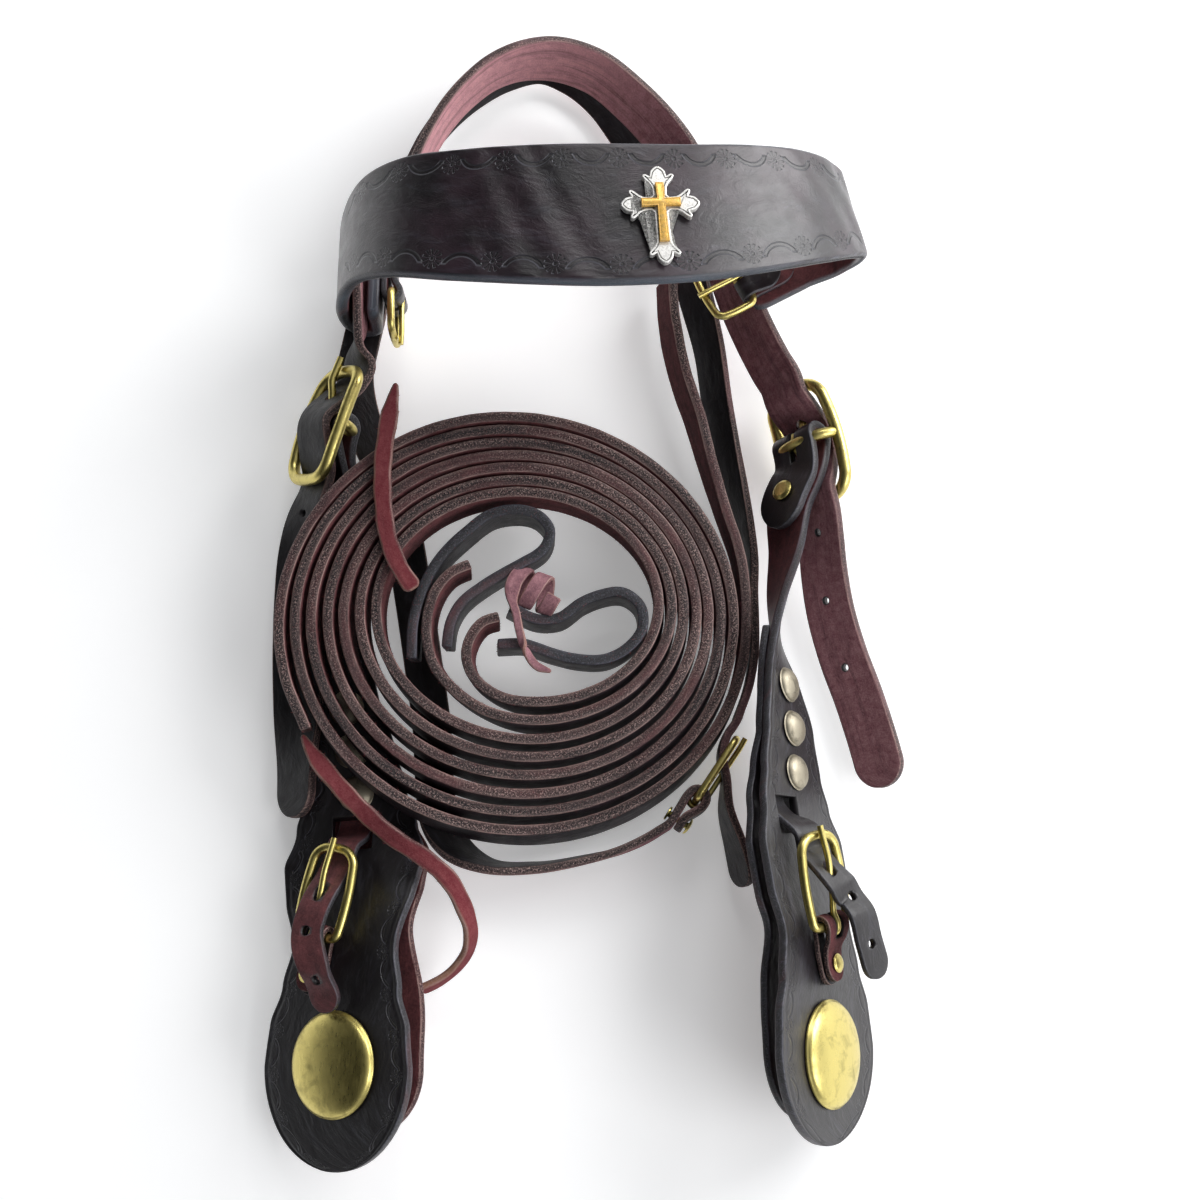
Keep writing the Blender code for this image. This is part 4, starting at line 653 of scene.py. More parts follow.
def combine(piece, other, operation):
    """Join a piece with a closed helper or cut it by one; the helper is then removed."""
    step = piece.modifiers.new("combine", "BOOLEAN")
    step.operation = operation
    step.solver = "EXACT"
    step.object = other
    mesh = evaluated_mesh(piece)
    piece.modifiers.clear()
    piece.data = mesh
    bpy.data.objects.remove(other, do_unlink=True)


def cut(piece, made):
    """Cut a piece by the closed shapes of a bmesh."""
    mesh = bpy.data.meshes.new("cutter")
    made.to_mesh(mesh)
    made.free()
    combine(piece, link("cutter", mesh), "DIFFERENCE")
    piece.data.shade_smooth()


def bore(piece, cutters):
    """Cut holes in a strap: round ones (matrix, radius, reach) or boxes (matrix, low, high)."""
    made = bmesh.new()
    for cutter in cutters:
        before = set(made.verts)
        if isinstance(cutter[1], float):
            matrix, radius, reach = cutter
            bmesh.ops.create_cone(made, cap_ends=True, segments=20, radius1=radius * MM,
                                  radius2=radius * MM, depth=2 * reach * MM)
        else:
            matrix, low, high = cutter
            bmesh.ops.create_cube(made, size=1)
            new = [v for v in made.verts if v not in before]
            bmesh.ops.scale(made, vec=[MM * (b - a) for a, b in zip(low, high)], verts=new)
            bmesh.ops.translate(made, vec=[MM * (a + b) / 2 for a, b in zip(low, high)], verts=new)
        new = [v for v in made.verts if v not in before]
        bmesh.ops.transform(made, matrix=matrix, verts=new)
    cut(piece, made)


# Node trees for wires, seats and fibres

def new_tree(name, result, inputs):
    """A geometry tree with named inputs (name, kind, default), and the values given to it."""
    tree = bpy.data.node_groups.new(name, "GeometryNodeTree")
    for title, kind, *default in inputs:
        made = tree.interface.new_socket(title, in_out="INPUT", socket_type="NodeSocket" + kind)
        if default:
            made.default_value = default[0]
    tree.interface.new_socket(result, in_out="OUTPUT", socket_type="NodeSocketGeometry")
    return tree, tree.nodes.new("NodeGroupInput").outputs


def grow(tree, kind, values, **settings):
    """Add a node to a geometry tree with its values or links."""
    made = tree.nodes.new(kind)
    for key, value in settings.items():
        setattr(made, key, value)
    for key, value in values.items():
        if isinstance(value, bpy.types.NodeSocket):
            tree.links.new(value, made.inputs[key])
        else:
            made.inputs[key].default_value = value
    return made


def close_tree(tree, shape, material, result):
    """End a tree in real geometry with its material set."""
    solid = grow(tree, "GeometryNodeRealizeInstances", {"Geometry": shape})
    done = grow(tree, "GeometryNodeSetMaterial", {"Geometry": solid.outputs[0],
                                                  "Material": material})
    grow(tree, "NodeGroupOutput", {result: done.outputs[0]})
    return tree


@cache
def wire_tree():
    """Sweeps a round wire along the line of a mesh."""
    tree, given = new_tree("swept_wire", "Wire", (
        ("Line", "Geometry"), ("Wire radius", "Float", 0.001), ("Sides", "Int", 16),
        ("Metal", "Material")))
    line = grow(tree, "GeometryNodeMeshToCurve", {"Mesh": given["Line"]})
    ring = grow(tree, "GeometryNodeCurvePrimitiveCircle", {"Resolution": given["Sides"],
                                                           "Radius": given["Wire radius"]})
    swept = grow(tree, "GeometryNodeCurveToMesh", {"Curve": line.outputs[0],
                                                   "Profile Curve": ring.outputs[0],
                                                   "Fill Caps": True})
    smooth = grow(tree, "GeometryNodeSetShadeSmooth", {"Geometry": swept.outputs[0]})
    return close_tree(tree, smooth.outputs[0], given["Metal"], "Wire")


@cache
def seats_tree():
    """Sets one fitting on each point, turned to the point's stored way up and along."""
    tree, given = new_tree("fittings_in_a_row", "Fittings", (
        ("Seats", "Geometry"), ("Fitting", "Object"), ("Metal", "Material")))
    part = grow(tree, "GeometryNodeObjectInfo", {"Object": given["Fitting"]})
    out, along = [grow(tree, "GeometryNodeInputNamedAttribute", {"Name": name},
                       data_type="FLOAT_VECTOR") for name in ("out", "along")]
    turn = grow(tree, "FunctionNodeAxesToRotation", {"Primary Axis": out.outputs[0],
                                                     "Secondary Axis": along.outputs[0]})
    points = grow(tree, "GeometryNodeMeshToPoints", {"Mesh": given["Seats"]})
    set_on = grow(tree, "GeometryNodeInstanceOnPoints", {"Points": points.outputs[0],
                                                         "Instance": part.outputs["Geometry"],
                                                         "Rotation": turn.outputs[0]})
    return close_tree(tree, set_on.outputs[0], given["Metal"], "Fittings")


@cache
def fibre_tree():
    """Scatters short loose fibres over the rough places of a strap."""
    tree, given = new_tree("loose_fibres", "Fibres", (
        ("Strap", "Geometry"), ("Fibre length", "Float", 0.0007),
        ("Fibres a square metre", "Float", 300000.0), ("Seed", "Int", 7), ("Nap", "Material")))
    rough = grow(tree, "GeometryNodeInputNamedAttribute", {"Name": "nap"}, data_type="FLOAT")
    dense = grow(tree, "ShaderNodeMath", {0: rough.outputs[0], 1: given["Fibres a square metre"]},
                 operation="MULTIPLY")
    strewn = grow(tree, "GeometryNodeDistributePointsOnFaces", {"Mesh": given["Strap"],
                                                                "Density": dense.outputs[0],
                                                                "Seed": given["Seed"]})
    fibre = grow(tree, "GeometryNodeMeshCone", {"Vertices": 3, "Radius Top": 0.00002,
                                                "Radius Bottom": 0.00007,
                                                "Depth": given["Fibre length"]})
    wild = grow(tree, "FunctionNodeRandomValue", {0: (-1.1, -1.1, -3.1), 1: (1.1, 1.1, 3.1),
                                                  "Seed": given["Seed"]}, data_type="FLOAT_VECTOR")
    tilt = grow(tree, "FunctionNodeEulerToRotation", {"Euler": wild.outputs[0]})
    turn = grow(tree, "FunctionNodeRotateRotation", {"Rotation": strewn.outputs["Rotation"],
                                                     "Rotate By": tilt.outputs[0]},
                rotation_space="LOCAL")
    grown = grow(tree, "FunctionNodeRandomValue", {2: 0.4, 3: 1.3, "Seed": given["Seed"]},
                 data_type="FLOAT")
    set_on = grow(tree, "GeometryNodeInstanceOnPoints", {"Points": strewn.outputs["Points"],
                                                         "Instance": fibre.outputs[0],
                                                         "Rotation": turn.outputs[0],
                                                         "Scale": grown.outputs[1]})
    return close_tree(tree, set_on.outputs[0], given["Nap"], "Fibres")


def grown_mesh(name, source, tree, values):
    """Run a tree on a source object and keep the result as a plain mesh object."""
    step = source.modifiers.new("tree", "NODES")
    step.node_group = tree
    for item in tree.interface.items_tree:
        if item.in_out == "INPUT" and item.name in values:
            step[item.identifier] = values[item.name]
    mesh = evaluated_mesh(source)
    source.modifiers.clear()
    mesh.name = name
    return link(name, mesh)


# Turned and swept pieces

# Spacing of the points of a closed wire, and of one with free ends, mm
RING_STEP = 0.7
WIRE_STEP = 0.5


def clean_normals(mesh):
    """Weld what touches and turn every face outward."""
    made = bmesh.new()
    made.from_mesh(mesh)
    bmesh.ops.remove_doubles(made, verts=made.verts, dist=1e-7)
    bmesh.ops.recalc_face_normals(made, faces=made.faces)
    made.to_mesh(mesh)
    made.free()
    mesh.shade_smooth()
    return mesh


def lathe(name, profile, matrix, material, steps=48):
    """A turned piece: (radius, height) points from the top down its outer side."""
    rings = []
    verts = []
    for radius, height in profile:
        count = 1 if radius < 1e-6 else steps
        rings.append((len(verts), count))
        for k in range(count):
            angle = math.tau * k / steps
            across, along = radius * math.cos(angle), radius * math.sin(angle)
            verts.append((across * MM, along * MM, height * MM))
    faces = []
    for (a, many_a), (b, many_b) in zip(rings, rings[1:]):
        for k in range(steps):
            j = (k + 1) % steps
            if many_a == 1:
                faces.append((a, b + k, b + j))
            elif many_b == 1:
                faces.append((a + k, b, a + j))
            else:
                faces.append((a + k, b + k, b + j, a + j))
    mesh = bpy.data.meshes.new(name)
    mesh.from_pydata(verts, [], faces)
    clean_normals(mesh)
    keep_edges(mesh, 40)
    mesh.materials.append(material)
    return settle(link(name, mesh), matrix)


def keep_edges(mesh, degrees):
    """Shade smooth but keep corners sharper than an angle."""
    mesh.shade_smooth()
    mesh.set_sharp_from_angle(angle=math.radians(degrees))


def rounded(profile, radius=0.25, steps=3):
    """A profile whose corners are eased, as turned metal is."""
    out = [profile[0]]
    for before, here, after in zip(profile, profile[1:], profile[2:]):
        a = Vector(before) - Vector(here)
        b = Vector(after) - Vector(here)
        reach = min(radius, a.length * 0.45, b.length * 0.45)
        if reach < 0.03 or a.length < 1e-6 or b.length < 1e-6 or a.angle(b) > 2.7:
            out.append(here)
            continue
        first = Vector(here) + a.normalized() * reach
        last = Vector(here) + b.normalized() * reach
        for k in range(steps + 1):
            f = k / steps
            point = first * (1 - f) ** 2 + Vector(here) * 2 * f * (1 - f) + last * f ** 2
            out.append((max(point.x, 0.0), point.y))
    out.append(profile[-1])
    return out


def dome(radius, base, height, steps=12):
    """The upper side of a dome, from its top to its rim."""
    return [(radius * math.cos(math.radians(d)), base + height * math.sin(math.radians(d)))
            for d in np.linspace(88, 4, steps)]


def line_mesh(name, points, cyclic):
    mesh = bpy.data.meshes.new(name)
    edges = [(i, i + 1) for i in range(len(points) - 1)]
    if cyclic:
        edges.append((len(points) - 1, 0))
    mesh.from_pydata([in_metres(point) for point in points], edges, [])
    return mesh


def wire(name, points, radius, cyclic=False, sides=18):
    """A round brass wire along points, closed or with blunt ends."""
    points = [tuple(point) for point in points]
    if cyclic:
        lead = points[-2:]
        smooth = blend_rows(lead + points + points[:3], RING_STEP)
        begin = steps_of(lead + points[:1], RING_STEP)
        smooth = smooth[begin:begin + steps_of(points + points[:1], RING_STEP)]
        smooth = [Vector(row) for row in smooth]
    else:
        smooth = [Vector(row) for row in blend_rows(points, WIRE_STEP)]
        ends = [(p - q).normalized() for p, q in (smooth[:2], (smooth[-1], smooth[-2]))]
        reach = [math.cos(math.radians(d)) * radius * 0.7 for d in (14, 35, 60, 80)]
        smooth = ([smooth[0] + ends[0] * r for r in reach] + smooth
                  + [smooth[-1] + ends[1] * r for r in reversed(reach)])
    source = link(name + "_line", line_mesh(name + "_line", smooth, cyclic))
    made = grown_mesh(name, source, wire_tree(),
                      {"Wire radius": radius * MM, "Sides": sides, "Metal": brass()})
    bpy.data.objects.remove(source, do_unlink=True)
    clean_normals(made.data)
    return made


def steps_of(rows, step):
    """How many pieces smoothing makes of these rows."""
    return sum(max(1, math.ceil(math.dist(a[:3], b[:3]) / step)) for a, b in zip(rows, rows[1:]))


def punch(piece, points, radius, sides=14):
    """Cut a tongue's hole in a strap by a closed tube along the tongue's own line."""
    made = bmesh.new()
    rings = []
    smooth = [Vector(row) for row in blend_rows([tuple(point) for point in points], 1.5)]
    for i, point in enumerate(smooth):
        travel = (smooth[min(i + 1, len(smooth) - 1)] - smooth[max(i - 1, 0)]).normalized()
        turn = travel.to_track_quat("Z", "Y").to_matrix()
        ring = []
        for k in range(sides):
            angle = math.tau * k / sides
            spoke = turn @ Vector((radius * math.cos(angle), radius * math.sin(angle), 0))
            ring.append(made.verts.new(in_metres(point + spoke)))
        rings.append(ring)
    for low, high in zip(rings, rings[1:]):
        for k in range(sides):
            j = (k + 1) % sides
            made.faces.new((low[k], low[j], high[j], high[k]))
    made.faces.new(list(reversed(rings[0])))
    made.faces.new(rings[-1])
    bmesh.ops.recalc_face_normals(made, faces=made.faces)
    cut(piece, made)


# Buckles

def buckle_matrix(bar, far, normal):
    """Frame of a buckle: origin on its bar, X to the far bar and Z out of its face."""
    ahead = Vector(far).normalized()
    out = Vector(normal)
    out = (out - ahead * out.dot(ahead)).normalized()
    turn = Matrix((ahead, out.cross(ahead), out)).transposed()
    return Matrix.Translation(Vector(bar)) @ turn.to_4x4()


def loop_outline(length, half, near_corner, far_corner, rise, bow):
    """Points round a wire frame: a bar at 0, round corners and a far bar at length."""
    points = []
    for side in (1, -1):
        corners = ((near_corner, near_corner, math.pi, math.pi / 2),
                   (length - far_corner, far_corner, math.pi / 2, 0))
        if side < 0:
            corners = tuple((x, r, b, a) for x, r, a, b in reversed(corners))
        for middle, corner, first, last in corners:
            count = 7
            for k in range(count):
                angle = first + (last - first) * k / (count - 1)
                a = middle + corner * math.cos(angle)
                v = side * (half - corner + corner * math.sin(angle))
                points.append((a, v, rise * a / length + bow * math.sin(math.pi * a / length)))
    return points


def tongue_points(matrix, bar, radius, crossing, far, far_height):
    """The line of a tongue: its eye round the bar, its stem and its tip on the far bar."""
    eye = bar + GAP + radius + 0.05
    angles = [math.radians(angle) for angle in (-40, -80, -120, -160, -200, -240, -268)]
    points = [(eye * math.cos(angle), 0, eye * math.sin(angle)) for angle in angles]
    points += [(a, 0, n) for a, n in crossing]
    points += [(far - radius, 0, far_height), (far + 2.2 * radius, 0, far_height - 0.2)]
    return [local(matrix, *point) for point in points]


def tongue(name, node, points, radius):
    """A buckle's tongue; its body has the name of its node."""
    seat(wire(name, points, radius), node, "brass", node)


def rivet(name, home, body, node, high, low):
    """A domed rivet with its head at high and its washer at low."""
    profile = [(0, high + 1.2)] + dome(3.0, high + 0.3, 0.9, 7) + [(3.2, high + 0.3), (3.2, high)]
    profile += [(1.2, high), (1.2, low), (2.6, low), (2.6, low - 0.8), (0, low - 0.8)]
    made = lathe(name, rounded(profile, 0.2), metre_matrix(home), brass(), 32)
    seat(made, body, "brass", node)


def fold_frames(matrix, bend, thick, low_leg, high_leg, roll=0.0, drop=0.0):
    """Frames of a strap folded round a bar; its legs may turn and settle away from the bar."""
    low = -bend + thick + GAP + 0.15
    down = [4.0 * k for k in range(1, 9)]
    rows = [(-a, -bend) for a in reversed([a for a in down if a < low_leg] + [low_leg])]
    rows += [(bend * math.sin(angle), -bend * math.cos(angle))
             for angle in [math.radians(30 * k) for k in range(0, 7)]]
    for a in [a for a in down if a < high_leg - 1] + [high_leg]:
        rows.append((-a, bend + (low - bend) * smooth_share(a / (0.6 * high_leg))))
    stops = []
    for a, n in rows:
        share = smooth_share(-a / 9.0)
        turned_back = matrix @ Matrix.Rotation(math.radians(-roll * share), 4, "X")
        stops.append((local(turned_back, a, 0, n - drop * share), turned_back.to_3x3() @ ALONG_Y))
    return frames_of_rows(stops, 0.5)


def even(half):
    """A half width that stays the same."""
    return lambda s: np.full(len(s), float(half))


# Cheeks

HALF_WIDTHS = ((0, 9.7), (60, 9.9), (78, 10.8), (91, 12.0), (107, 15.0), (122, 18.0), (134, 21.5),
               (148, 26.4), (160, 26.2), (176, 22.6), (190, 25.6), (203, 30.0), (215, 31.6))
LOBE_HALF = 31.6
CHEEK_LENGTH = 248.0
FOLD_WIDTH = 19.4
FLAP_LENGTH = 34.0
CHEEK_SCREW_AT = 21.0
SPOT_FIRST = 91.0
SPOT_PITCH = 15.7
SPOT_HEIGHT = 3.2
BIT_FAR_BAR = 145.0
CHAPE_RIVET = 13.0
CONCHO_AT = 217.0
CONCHO_HEIGHT = 5.0
LINING_START = 70.0
LINING_END = 239.0
CHAPE_WIDTH = 10.4
CHAPE_THICK = 2.0
CART_LENGTH = 43.0
CART_WIRE = 2.2
CART_BAR = 2.0
CART_BOW = 3.5
CART_TONGUE = 1.4
BIT_LENGTH = 30.0
BIT_WIRE = 1.6
BIT_RISE = 1.2
BIT_TONGUE = 1.1
POCKET = 7.0
LEAVE = math.radians(33)

Cheek = namedtuple("Cheek", "side bar down tilt out late longer stations seat tail")

CHEEKS = {
    "right": Cheek("right", Vector((79.2, 54, 18)), Vector((0.25, -0.968, 0)), -40, -1, 0.0, 0.0,
                   ((74.2, 30, 20.0, -132), (72.4, 14, 20.2, -117), (69.2, -2.6, 19.6, -100),
                    (68.2, -19, 20.2, -80), (69.9, -35, 21.8, -59), (71.4, -50, 23.4, -53),
                    (71.8, -66, 25.2, -53), (73.2, -82, 27.0, -54), (75.6, -98, 27.9, -54),
                    (77.8, -114, 28.0, -54), (79.3, -130, 28.0, -54), (80.4, -146, 28.2, -54),
                    (81.0, -163, 28.5, -54), (80.8, -181, 28.5, -54), (79.8, -201, 28.2, -54)),
                   (-2.4, 9.0, -14.0, 1.6),
                   ((92.2, -114, 38.6), (95.0, -124, 37.2), (98.6, -136, 34.0))),
    "left": Cheek("left", Vector((-92.2, 60.5, 17)), Vector((-0.30, -0.953, 0)), 40, 1, 11.8, 3.7,
                  ((-92.6, 28, 9.8, 28), (-92.0, 12, 7.0, 10), (-90.8, -4, 5.4, 1),
                   (-88.6, -22, 5.2, 0), (-85.8, -42, 5.2, 0), (-83.2, -58, 5.2, 0),
                   (-81.4, -73, 5.6, 0), (-80.8, -84, 7.6, 3), (-80.4, -94, 11.6, 13),
                   (-80.8, -104, 15.6, 23), (-81.4, -114, 18.6, 30), (-82.0, -127, 20.6, 32),
                   (-82.8, -145, 21.4, 32), (-83.2, -164, 21.8, 32), (-82.6, -182, 21.8, 32),
                   (-80.6, -203, 21.6, 32)),
                  (-7.0, -12.0, 6.0, 1.2),
                  ((-90.0, -134, 30.5), (-87.5, -140, 28.8), (-85.6, -147.5, 27.6))),
}


def lining_depth(s):
    """How far behind the face the back layer lies: close, under the billet, open at the pocket."""
    face, lining = size("face_thick"), size("lining_thick")
    behind = face / 2 + GAP + 0.1 + lining / 2
    under = face / 2 + size("billet_thick") + 2 * GAP + lining / 2
    pocket = face / 2 + POCKET + lining / 2
    return lookup(((0, behind), (110, behind), (128, under), (168, under), (192, pocket),
                   (243, pocket)), s)


def lining_shift(s):
    return lookup(((0, 0.0), (150, 0.0), (200, 3.0), (243, 3.0)), s)


def fold_bend():
    return CART_BAR + GAP + 0.45 + size("face_thick") / 2


# Where the rounded tip of a cheek ends, so that its width stays above zero
TIP_SHARE = 0.9995


def cheek_half(s):
    """Half width of a cheek: strap, shoulder, waist, lobe and round tip."""
    widest = HALF_WIDTHS[-1][0]
    if s <= widest:
        return lookup(HALF_WIDTHS, s)
    share = min((s - widest) / (CHEEK_LENGTH - widest), TIP_SHARE)
    return LOBE_HALF * math.sqrt(1 - share ** 2)


def lining_half(s, last):
    """Half width of the back layer: no wider than the face, with a round end."""
    body = min(cheek_half(s) - 0.6, 25.5)
    if s < 176:
        return body
    body = lookup(((176, 22.0), (205, 25.5), (243, 25.5)), s)
    if s > last - 24:
        body *= math.sqrt(1 - min((s - last + 24) / 24, 0.9995) ** 2)
    return body


def cheek_bar(cheek):
    """Frame of the large buckle: X from the bar up the strap, Z to the outer side."""
    tilt = math.radians(cheek.tilt)
    outward = cheek.down.cross(UP) * cheek.out * math.cos(tilt) + UP * math.sin(tilt)
    return buckle_matrix(cheek.bar, -cheek.down, outward)


def cheek_paths(cheek):
    """Main leg from the bar to the tip, and the whole face layer with its fold and flap."""
    bar = cheek_bar(cheek)
    bend = fold_bend()
    start = [local(bar, -bend * math.sin(LEAVE), 0, bend * math.cos(LEAVE))]
    start.append(start[0] + (local(bar, -math.cos(LEAVE), 0, -math.sin(LEAVE)) - cheek.bar) * 6)
    lean = (90 - cheek.tilt) * cheek.out
    rows = [(*start[0], lean), (*start[1], lean)] + list(cheek.stations)
    main = strap_frames(rows)
    axis = bar.to_3x3() @ ALONG_Y
    axis = axis if axis.dot(main[0].w) > 0 else -axis
    main = frames_from([f.p for f in main], [axis.lerp(f.w, min(f.s / 14, 1)) for f in main])
    main = [frame_ for frame_ in main if frame_.s <= CHEEK_LENGTH + cheek.late + cheek.longer]
    back = size("face_thick") + GAP + 0.45
    flap = []
    for frame_ in reversed([f for f in main if 12 < f.s < FLAP_LENGTH]):
        flap.append((frame_.p - frame_.n * back, frame_.w))
    for degrees in (192, 160, 130, 100, 70, 40, 10, -15):
        angle = math.radians(degrees)
        flap.append((local(bar, bend * math.sin(angle), 0, bend * math.cos(angle)), main[0].w))
    flap += [(frame_.p, frame_.w) for frame_ in main]
    return main, frames_of_rows(flap, 1.6)


def offset_frames(frames, depth, shift):
    """Frames of a layer that lies behind another."""
    points = [place(f, 0, shift(f.s), -depth(f.s)) for f in frames]
    out = frames_from(points, [f.w for f in frames])
    return [f._replace(s=g.s) for f, g in zip(out, frames)]


def body_of_side(cheek):
    return "cheek_right" if cheek.side == "right" else "root"


def pattern_place(cheek, s):
    """Distance along the plain pattern; the left tab is a little longer."""
    stretch = (CHEEK_LENGTH + cheek.longer - 100) / (CHEEK_LENGTH - 100)
    s = s - cheek.late
    return s if s < 100 else 100 + (s - 100) / stretch


def make_cheek(cheek):
    main, whole = cheek_paths(cheek)
    bar = cheek_bar(cheek)
    extra = whole[-1].s - main[-1].s
    face_thick = size("face_thick")
    body = body_of_side(cheek)
    short = CHEEK_LENGTH - pattern_place(cheek, main[-1].s)
    lobe = HALF_WIDTHS[-1][0]

    def outline(at):
        """Half width at a place; the lobe is drawn in so that its tip ends round."""
        spot = pattern_place(cheek, at)
        drawn = short * smooth_share((spot - lobe) / (CHEEK_LENGTH - short - lobe))
        return cheek_half(spot + drawn)

    def half(s):
        out = [outline(at - extra) if at > extra + 12 else FOLD_WIDTH / 2 for at in s]
        return np.minimum(out, round_half(s, FOLD_WIDTH / 2, 0, 1e9, True, False) + (s > 12) * 1e3)

    # A groove along the edge, lowered a little and darkened by painted shade
    def relief(s, v):
        edge = half(s[:, 0])[:, None] - np.abs(v)
        groove = (1 - smooth_share((np.abs(edge - 1.9) - 0.2) / 0.5)) * (s > extra + 40)
        return -0.2 * groove, groove * 0.5

    face = strap("cheek_face_" + cheek.side, whole, half, face_thick, leather("cheek"), FLESH_BELOW,
                 0.9, 0.8, relief=relief,
                 tooled=(extra + cheek.late + 72, whole[-1].s - 8, CHEEK_TOOLING[0]))
    slot = frame_at(main, BIT_FAR_BAR + cheek.late - 6.5)
    home, flat, height = bit_home(cheek, main)
    v = (local(home, BIT_LENGTH + 7, 0, 0) - slot.p).dot(slot.w)
    billet_half = size("billet_width") / 2
    bore(face, [(metre_matrix(bar), (-6.5, -CART_TONGUE - SLOT_GAP, -7.5),
                 (8.5, CART_TONGUE + SLOT_GAP, 7.5)),
                (matrix_of(slot, v), (-7.5, -billet_half - 1.1, -4), (5.5, billet_half + 1.1, 4))])
    seat(face, body, "cheek_leather", "cheek_front_" + cheek.side)

    last = cheek.late + LINING_END + cheek.longer
    lining_path = offset_frames(main, lambda s: lining_depth(s - cheek.late),
                                lambda s: lining_shift(s - cheek.late))
    lined = [frame_at(lining_path, s) for s in np.arange(LINING_START, last, 2.0)]
    lined.append(frame_at(lining_path, last))

    def back_half(s):
        return np.array([lining_half(at - cheek.late, last - cheek.late) for at in s])

    kind, raw = ("lining", FLESH_BOTH) if cheek.side == "left" else ("cheek", FLESH_BELOW)
    lining = strap("cheek_back_" + cheek.side, lined, back_half, size("lining_thick"),
                   leather(kind), raw, 1.1, 1.6, 0.7)
    seat(lining, body, "lining_leather", "cheek_lining_" + cheek.side)

    make_spots(cheek, main)
    make_concho(cheek, main)
    make_cheek_screw(cheek, main)
    make_bit_buckle(cheek, main, home, flat, height)


def make_spots(cheek, main):
    """Three domed spots set in a row by a node tree on their own seats."""
    radius = size("spot_radius")
    top = size("face_thick") / 2 + GAP + 0.15
    back = -(lining_depth(SPOT_FIRST) + size("lining_thick") / 2 + GAP + 0.5)
    profile = [(0, top + SPOT_HEIGHT)] + dome(radius - 0.35, top + 0.25, SPOT_HEIGHT - 0.25)
    profile += [(radius, top + 0.2), (radius, top), (1.2, top), (1.2, back), (2.3, back)]
    profile += [(2.3, back - 0.8), (0, back - 0.8)]
    pattern = lathe("spot_pattern", rounded(profile, 0.2), Matrix.Identity(4), nickel(), 40)
    seats = [frame_at(main, SPOT_FIRST + k * SPOT_PITCH + cheek.late) for k in range(3)]
    mesh = bpy.data.meshes.new("spot_seats")
    mesh.from_pydata([in_metres(f.p) for f in seats], [], [])
    store(mesh, "out", [f.n for f in seats], "FLOAT_VECTOR", "vector")
    store(mesh, "along", [f.t for f in seats], "FLOAT_VECTOR", "vector")
    source = link("spot_seats", mesh)
    made = grown_mesh("spots_" + cheek.side, source, seats_tree(),
                      {"Fitting": pattern, "Metal": nickel()})
    keep_edges(made.data, 40)
    bpy.data.objects.remove(source, do_unlink=True)
    bpy.data.objects.remove(pattern, do_unlink=True)
    seat(made, body_of_side(cheek), "nickel", *["spot_%s_%d" % (cheek.side, k) for k in (1, 2, 3)])


def make_concho(cheek, main):
    """A domed concho on its post, and the screw that holds it from behind."""
    frame_ = frame_at(main, CONCHO_AT + cheek.late)
    radius = size("concho_radius")
    top = size("face_thick") / 2 + GAP
    pocket = size("face_thick") / 2 + POCKET + size("lining_thick") / 2
    back = -(pocket - size("lining_thick") / 2 - GAP)
    wall = 1.4
    outer = [(0, top + CONCHO_HEIGHT)] + dome(radius - 0.5, top + 0.7, CONCHO_HEIGHT - 0.7, 20)
    outer += [(radius - 0.15, top + 0.65), (radius, top + 0.4), (radius, top)]
    shrink = (radius - wall) / radius
    inner = [(r * shrink, top + (h - top) * 0.72) for r, h in reversed(outer[3:-3])]
    ceiling = top + (outer[2][1] - top) * 0.72
    profile = outer + [(radius - wall, top)] + inner
    profile += [(2.8, ceiling), (2.8, back), (1.8, back), (1.8, -1.0), (0, -1.0)]
    concho = lathe("concho_plate_" + cheek.side, profile, matrix_of(frame_), brass(), 72)
    seat(concho, body_of_side(cheek), "brass", "concho_" + cheek.side)
    head = -(pocket + size("lining_thick") / 2 + GAP)
    screw = [(0, -1.5), (1.5, -1.5), (1.5, head), (4.2, head), (4.2, head - 0.7), (3.4, head - 1.4)]
    screw += [(0, head - 1.4)]
    made = lathe("concho_bolt_" + cheek.side, rounded(screw), matrix_of(frame_), brass(), 32)
    seat(made, body_of_side(cheek), "brass", "concho_screw_" + cheek.side)


def make_cheek_screw(cheek, main):
    """A Chicago screw that closes the fold below the large buckle."""
    frame_ = frame_at(main, CHEEK_SCREW_AT)
    thick = size("face_thick")
    top = thick / 2 + GAP + 0.45
    back = -(thick * 1.5 + 2 * GAP + 0.7)
    profile = [(0, top + 1.0)] + dome(4.0, top + 0.25, 0.75, 6) + [(4.0, top), (2.2, top)]
    profile += [(2.2, back), (4.0, back), (4.0, back - 0.6), (2.8, back - 1.3), (0, back - 1.4)]
    made = lathe("cheek_bolt_" + cheek.side, rounded(profile, 0.2), matrix_of(frame_), brass(), 36)
    seat(made, body_of_side(cheek), "brass", "cheek_screw_" + cheek.side)


def bit_home(cheek, main):
    """Where the bit buckle's bar lies: its own frame, the same without its roll, and its height."""
    v, yaw, roll, lift = cheek.seat
    height = size("face_thick") / 2 + GAP + CHAPE_THICK + BIT_WIRE + GAP + lift
    base = frame_at(main, BIT_FAR_BAR + BIT_LENGTH + cheek.late)
    flat = buckle_matrix(place(base, 0, v, height), -base.t, base.n)
    flat = flat @ Matrix.Rotation(math.radians(yaw), 4, "Z")
    return flat @ Matrix.Rotation(math.radians(roll), 4, "X"), flat, height


